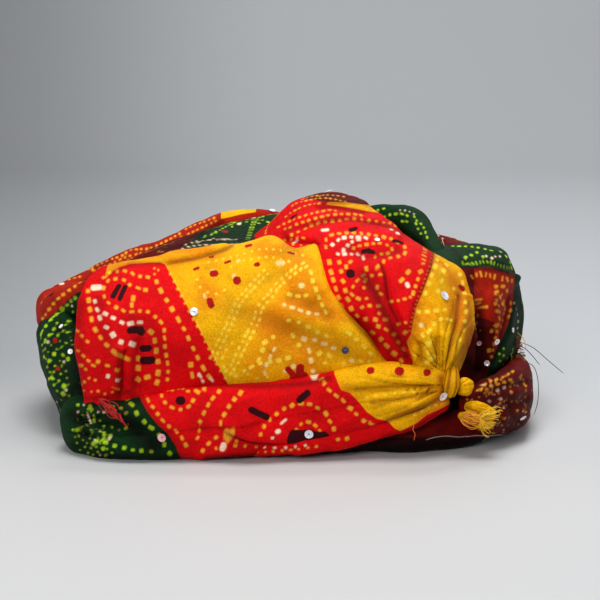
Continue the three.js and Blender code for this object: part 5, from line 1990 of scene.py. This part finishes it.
class PAGRI_OT_folds(bpy.types.Operator):
    """Makes the ridge fold, the crest fold and the rear fold"""

    bl_idname = "pagri.folds"
    bl_label = "Ridge, crest and rear folds"

    def execute(self, context):
        pieces = (
            ("ridge_fold", RIDGE_FOLD, (336, 72), "Rust cotton", "print_maroon",
             {"shadows": RIDGE_SHADOWS, "areas": RIDGE_AREAS, "back": RIDGE_BACK, "rows": RIDGE_ROWS,
              "marks": RIDGE_MARKS}),
            ("crest_fold", CREST_FOLD, (208, 72), "Green cotton", "print_green",
             {"shadows": CREST_SHADOWS, "rows": CREST_ROWS}),
            ("rear_fold", REAR_FOLD, (160, 64), "Maroon cotton", "print_maroon", {"rows": REAR_FOLD_ROWS}),
        )
        for number, (node, table, size, finish, slot, parts) in enumerate(pieces):
            cloth = dressed(roll(table, *size), 70 + number, parts, share=1.2, rows_seed=80 + number)
            if node == "ridge_fold":
                wall_print(cloth)
            motifs(cloth, 16, 75 + number)
            piece = settle(tube(node + "_cloth", keep(node, cloth)), finish, slot, node)
        return {"FINISHED"}


class PAGRI_OT_knot(bpy.types.Operator):
    """Makes the loop and the tuck of the knot"""

    bl_idname = "pagri.knot"
    bl_label = "Knot"

    def execute(self, context):
        rows, columns = 96, 90
        points = band(rows, columns)
        cloth = Cloth(np.concatenate([points, points[:1]]), ring=True)
        uneven(cloth, 91, 0.6)
        ring = cloth.points[:-1]
        faces = grid_faces(rows + 1, columns, ring=True) % (rows * columns)
        if points_inward(ring.reshape(-1, 3), faces):
            faces = faces[:, ::-1]
        uv = grid_uv(cloth)[:-1].reshape(-1, 2)
        fields = {k: np.full(rows * columns, FAR) for k in FIELDS}
        # Painted shade: the whole loop a little darker, and darker still in the grooves between its pleats
        grooves = np.cos(KNOT_LOOP["pleats"] * 2 * np.pi * np.arange(columns) / columns)
        fields["shade"] = np.tile(0.28 + 0.55 * np.clip(-grooves, 0, 1), rows)
        loop = make_mesh("knot_loop_cloth", ring.reshape(-1, 3), [faces], uv, fields)
        settle(loop, "Yellow cotton", "print_yellow", "knot_loop")
        cloth = roll(KNOT_TUCK, 64, 48)
        uneven(cloth, 92, 0.6)
        gathers(cloth, TUCK_GATHERS)
        shadows(cloth, TUCK_SHADOWS)
        tuck = settle(tube("knot_tuck_cloth", cloth), "Yellow cotton", "print_yellow", "knot_tuck")
        return {"FINISHED"}


class PAGRI_OT_tail(bpy.types.Operator):
    """Makes the frayed end of the cloth below the knot"""

    bl_idname = "pagri.tail"
    bl_label = "Frayed tail"

    def execute(self, context):
        for name, node, table, seed in (("tail_leaf_cloth", "tail_leaf", TAIL_LEAF, 95),
                                        ("tail_fringe_cloth", "tail_fringe", TAIL_FRINGE, 97)):
            cloth = roll(table, 64, 48)
            uneven(cloth, seed, 0.6)
            gathers(cloth, TAIL_GATHERS)
            shadows(cloth, TAIL_SHADOWS)
            piece = settle(tube(name, cloth), "Yellow cotton", "print_yellow", node)
        return {"FINISHED"}


THREAD_TONES = {
    "dark": (0.03, 0.012, 0.008), "orange": (0.7, 0.12, 0.01), "red": (0.5, 0.002, 0.004),
    "gold": (0.85, 0.34, 0.01), "bright": (1.0, 0.60, 0.012), "pale": (0.30, 0.26, 0.24),
    "lime": (0.25, 0.42, 0.02), "brown": (0.20, 0.06, 0.015),
}


def plain_material(name, roughness, metallic=0.0):
    """A material whose colour is the tone of each point of the piece, a little uneven."""
    made = bpy.data.materials.new(name)
    made.use_nodes = True
    t = Tree(made.node_tree)
    shader = made.node_tree.nodes["Principled BSDF"]
    shader.inputs["Roughness"].default_value = roughness
    shader.inputs["Metallic"].default_value = metallic
    noise = t.noise(t.add("ShaderNodeTexCoord").outputs["Object"], 900.0)
    colour = t.add("ShaderNodeAttribute", attribute_name="tone").outputs["Color"]
    shade = t.add("ShaderNodeVectorMath", {0: colour}, operation="SCALE")
    t.link(t.ramp(noise, 0.3, 0.7, 0.8, 1.15), shade.inputs["Scale"])
    t.link(shade.outputs[0], shader.inputs["Base Color"])
    return made


class PAGRI_OT_threads(bpy.types.Operator):
    """Makes the loose threads, the fringe and the frayed hems"""

    bl_idname = "pagri.threads"
    bl_label = "Threads and fringe"

    def execute(self, context):
        chance = np.random.default_rng(7)
        cotton = plain_material("Cotton thread", 0.7)
        places = np.linspace(0, 1, 40)
        lines = np.stack([spline_weights(len(points), places) @ off_view(points) for _, points in THREADS])
        tones = np.array([THREAD_TONES[colour] for colour, _ in THREADS])
        threads = hairs("loose_threads", lines, np.full(len(lines), sizes().thread / 2), tones)
        threads.data.materials.append(cotton)
        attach(threads, "root")
        for number, (colour, count, thick, roots, tips) in enumerate(FRINGES):
            root, tip = off_view(roots), off_view(tips)
            share = chance.uniform(0, 1, (count, 1))
            aim = np.clip(share + chance.normal(0, 0.14, (count, 1)), -0.1, 1.1)
            start = root[0] + share * (root[1] - root[0])
            end = tip[0] + aim * (tip[1] - tip[0])
            end = start + (end - start) * chance.uniform(0.6, 1.15, (count, 1))
            run = np.linalg.norm(end - start, axis=1)[:, None, None]
            step = np.linspace(0, 1, 14)[None, :, None]
            bend = chance.normal(0, 0.1, (count, 1, 3)) * run * np.sin(np.pi * step)
            curl = chance.normal(0, 0.035, (count, 1, 3)) * run * np.sin(3 * np.pi * step)
            line = start[:, None] + (end - start)[:, None] * step + bend + curl
            line[..., 2] = np.maximum(line[..., 2], LEAST_HEIGHT)
            tones = np.array(THREAD_TONES[colour]) * chance.uniform(0.65, 1.15, (count, 1))
            radius = thick / 2 * MM * chance.uniform(0.7, 1.2, count)
            fringe = hairs(f"fringe_{number + 1}", line, radius, tones)
            fringe.data.materials.append(cotton)
            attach(fringe, "root")
        return {"FINISHED"}


SEQUIN_SIDES = 28
SEQUIN_LIFT = 0.45 * MM
# Silver, then pink and dark as painted reflections, and white as a painted highlight
SEQUIN_TONES = np.array([
    [(0.75, 0.78, 0.85)], [(0.85, 0.42, 0.45)], [(0.05, 0.05, 0.1)], [(0.95, 0.9, 0.86)],
])


class PAGRI_OT_sequins(bpy.types.Operator):
    """Makes the sequins: thin dished discs with a hole, each tilted a little"""

    bl_idname = "pagri.sequins"
    bl_label = "Sequins"

    def execute(self, context):
        chance = np.random.default_rng(5)
        marks = []
        for name, x, y, wide, tone in SEQUINS:
            cloth = CLOTHS[name]
            places, found = cloth.seen_at(np.array([[x, y]], float))
            if found[0]:
                marks.append((cloth, places, wide, tone))
        for name, along, across in BACK_SEQUINS:
            cloth = CLOTHS[name]
            places = np.array([[along, across]]) * cloth.points.shape[:2]
            marks.append((cloth, places, sizes().sequin / MM, 0))
        ring = np.array([0.16, 0.2, 0.5, 0.8, 0.95, 1.0, 1.0, 0.95, 0.8, 0.5, 0.2])
        rise = np.array([0.0, 0.03, 0.05, 0.12, 0.17, 0.17, 0.1, 0.09, 0.04, -0.03, -0.04])
        turn = 2 * np.pi * np.arange(SEQUIN_SIDES) / SEQUIN_SIDES
        ring, rise = ring[:, None], rise[:, None]
        disc = np.stack(np.broadcast_arrays(ring * np.cos(turn), ring * np.sin(turn), rise), axis=-1)
        closed = np.concatenate([disc, disc[:1]])
        count = disc[..., 0].size
        quads = grid_faces(len(closed), SEQUIN_SIDES, ring=True) % count
        points, tones = [], []
        for cloth, places, wide, tone in marks:
            centre = cloth.at(places)[0]
            out = unit(unit(cloth.at(places, cloth.normals))[0] + chance.normal(0, 0.12, 3))
            first = unit(np.cross(out, [0.2, 0.3, 0.9]))
            second = np.cross(out, first)
            size = wide / 2 * MM
            points.append(centre + out * SEQUIN_LIFT + size * (disc @ np.stack([first, second, out])))
            tones.append(np.repeat(SEQUIN_TONES[tone], count, axis=0))
        faces = copied(quads, len(points), count)
        points = np.concatenate([p.reshape(-1, 3) for p in points])
        if points_inward(points[:count], quads):
            faces = faces[:, ::-1]
        made = tinted(make_mesh("sequins", points, [faces]), np.concatenate(tones))
        made.data.materials.append(plain_material("Sequin", 0.3, 0.3))
        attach(made, "root")
        return {"FINISHED"}


def aim_at(thing, place, target):
    """Puts a camera or a light at a place and turns it towards a target."""
    thing.location = place
    thing.rotation_mode = "QUATERNION"
    thing.rotation_quaternion = (Vector(target) - Vector(place)).to_track_quat("-Z", "Y")


class PAGRI_OT_stage(bpy.types.Operator):
    """Sets the camera, the pale floor, the backdrop and the soft studio light"""

    bl_idname = "pagri.stage"
    bl_label = "Studio stage"

    def execute(self, context):
        scene = context.scene
        camera = bpy.data.objects.new("Camera", bpy.data.cameras.new("Camera"))
        scene.collection.objects.link(camera)
        aim_at(camera, CAMERA_PLACE, CAMERA_TARGET)
        camera.data.lens = CAMERA_LENS
        camera.data.sensor_width = SENSOR
        scene.camera = camera
        scene.view_settings.view_transform = "Standard"

        across = np.linspace(-3, 3, 2)[None, :]
        place = np.linspace(0, 1, 60)[:, None]
        turn = (place - 0.4) / 0.6 * np.pi / 2
        run = np.where(place < 0.4, -1.6 + place * 7.0, 1.2 + np.sin(turn))
        height = np.where(place < 0.4, 0, 1.0 - np.cos(turn)) * 1.9
        sweep = np.stack(np.broadcast_arrays(across, run, height), axis=-1)
        floor = make_mesh("studio_sweep", sweep.reshape(-1, 3), [grid_faces(60, 2)])
        surface = bpy.data.materials.new("Pale sweep")
        surface.use_nodes = True
        t = Tree(surface.node_tree)
        shader = surface.node_tree.nodes["Principled BSDF"]
        shader.inputs["Roughness"].default_value = 0.6
        place = t.add("ShaderNodeSeparateXYZ", {0: t.add("ShaderNodeTexCoord").outputs["Object"]})
        # Painted shade: the backdrop goes from a pale grey to a darker grey towards the left
        far = t.ramp(place.outputs[1], -0.15, 0.15)
        fan = t.math("DIVIDE", place.outputs[0], t.math("ADD", place.outputs[1], 0.81))
        left = t.ramp(fan, 0.01, -0.2)
        backdrop = t.mix(left, (0.50, 0.515, 0.535, 1), (0.30, 0.31, 0.32, 1))
        tone = t.mix(far, (0.52, 0.525, 0.53, 1), backdrop)
        t.link(tone, shader.inputs["Base Color"])
        floor.data.materials.append(surface)

        for name, place, aim, size, power in (
            ("Top light", (0.0, -0.2, 1.0), (0, 0, 0.05), 0.5, 8),
            ("Front light", (-0.42, -1.15, 0.58), (0, 0, 0.05), 0.45, 7.7),
            ("Right light", (1.1, -0.35, 0.7), (0, 0, 0.05), 0.8, 2.5),
            ("Left light", (-1.2, 0.25, 0.6), (-0.1, 0, 0.05), 0.8, 3.0),
            ("Back light", (0.4, 0.9, 0.9), (0, 0, 0.05), 0.7, 2),
            ("Backdrop light", (0.3, 0.9, 2.2), (0.1, 2.2, 0.7), 0.8, 22.5),
        ):
            light = bpy.data.lights.new(name, "AREA")
            light.energy = power
            light.size = size
            lamp = bpy.data.objects.new(name, light)
            aim_at(lamp, place, aim)
            scene.collection.objects.link(lamp)
        world = bpy.data.worlds.new("Studio")
        world.use_nodes = True
        background = world.node_tree.nodes["Background"]
        background.inputs["Color"].default_value = (0.78, 0.8, 0.83, 1)
        background.inputs["Strength"].default_value = 0.12
        scene.world = world
        return {"FINISHED"}


OPERATORS = (
    PAGRI_OT_inner_cap, PAGRI_OT_rear_wrap, PAGRI_OT_right_wrap, PAGRI_OT_front_panel, PAGRI_OT_top_puff,
    PAGRI_OT_brim, PAGRI_OT_side_roll, PAGRI_OT_folds, PAGRI_OT_knot, PAGRI_OT_tail,
    PAGRI_OT_threads, PAGRI_OT_sequins, PAGRI_OT_stage,
)


class PAGRI_PT_panel(bpy.types.Panel):
    """Lists the pieces of the turban"""

    bl_idname = "PAGRI_PT_panel"
    bl_label = "Tied turban pagri"
    bl_space_type = "VIEW_3D"
    bl_region_type = "UI"
    bl_category = "Pagri"

    def draw(self, context):
        for operator in OPERATORS:
            self.layout.operator(operator.bl_idname)
        for values in (context.scene.pagri_sizes, context.scene.pagri_colours):
            for key in values.__annotations__:
                self.layout.prop(values, key)


CLASSES = (PagriSizes, PagriColours, *OPERATORS, PAGRI_PT_panel)


def register():
    """Registers the classes and the scene's settings."""
    for item in CLASSES:
        bpy.utils.register_class(item)
    bpy.types.Scene.pagri_sizes = PointerProperty(type=PagriSizes)
    bpy.types.Scene.pagri_colours = PointerProperty(type=PagriColours)


def unregister():
    """Takes the settings and the classes away again."""
    del bpy.types.Scene.pagri_sizes
    del bpy.types.Scene.pagri_colours
    for item in reversed(CLASSES):
        bpy.utils.unregister_class(item)


def main():
    """Makes every piece and the stage."""
    register()
    for operator in OPERATORS:
        group_name, name = operator.bl_idname.split(".")
        getattr(getattr(bpy.ops, group_name), name)()


if __name__ == "__main__":
    main()
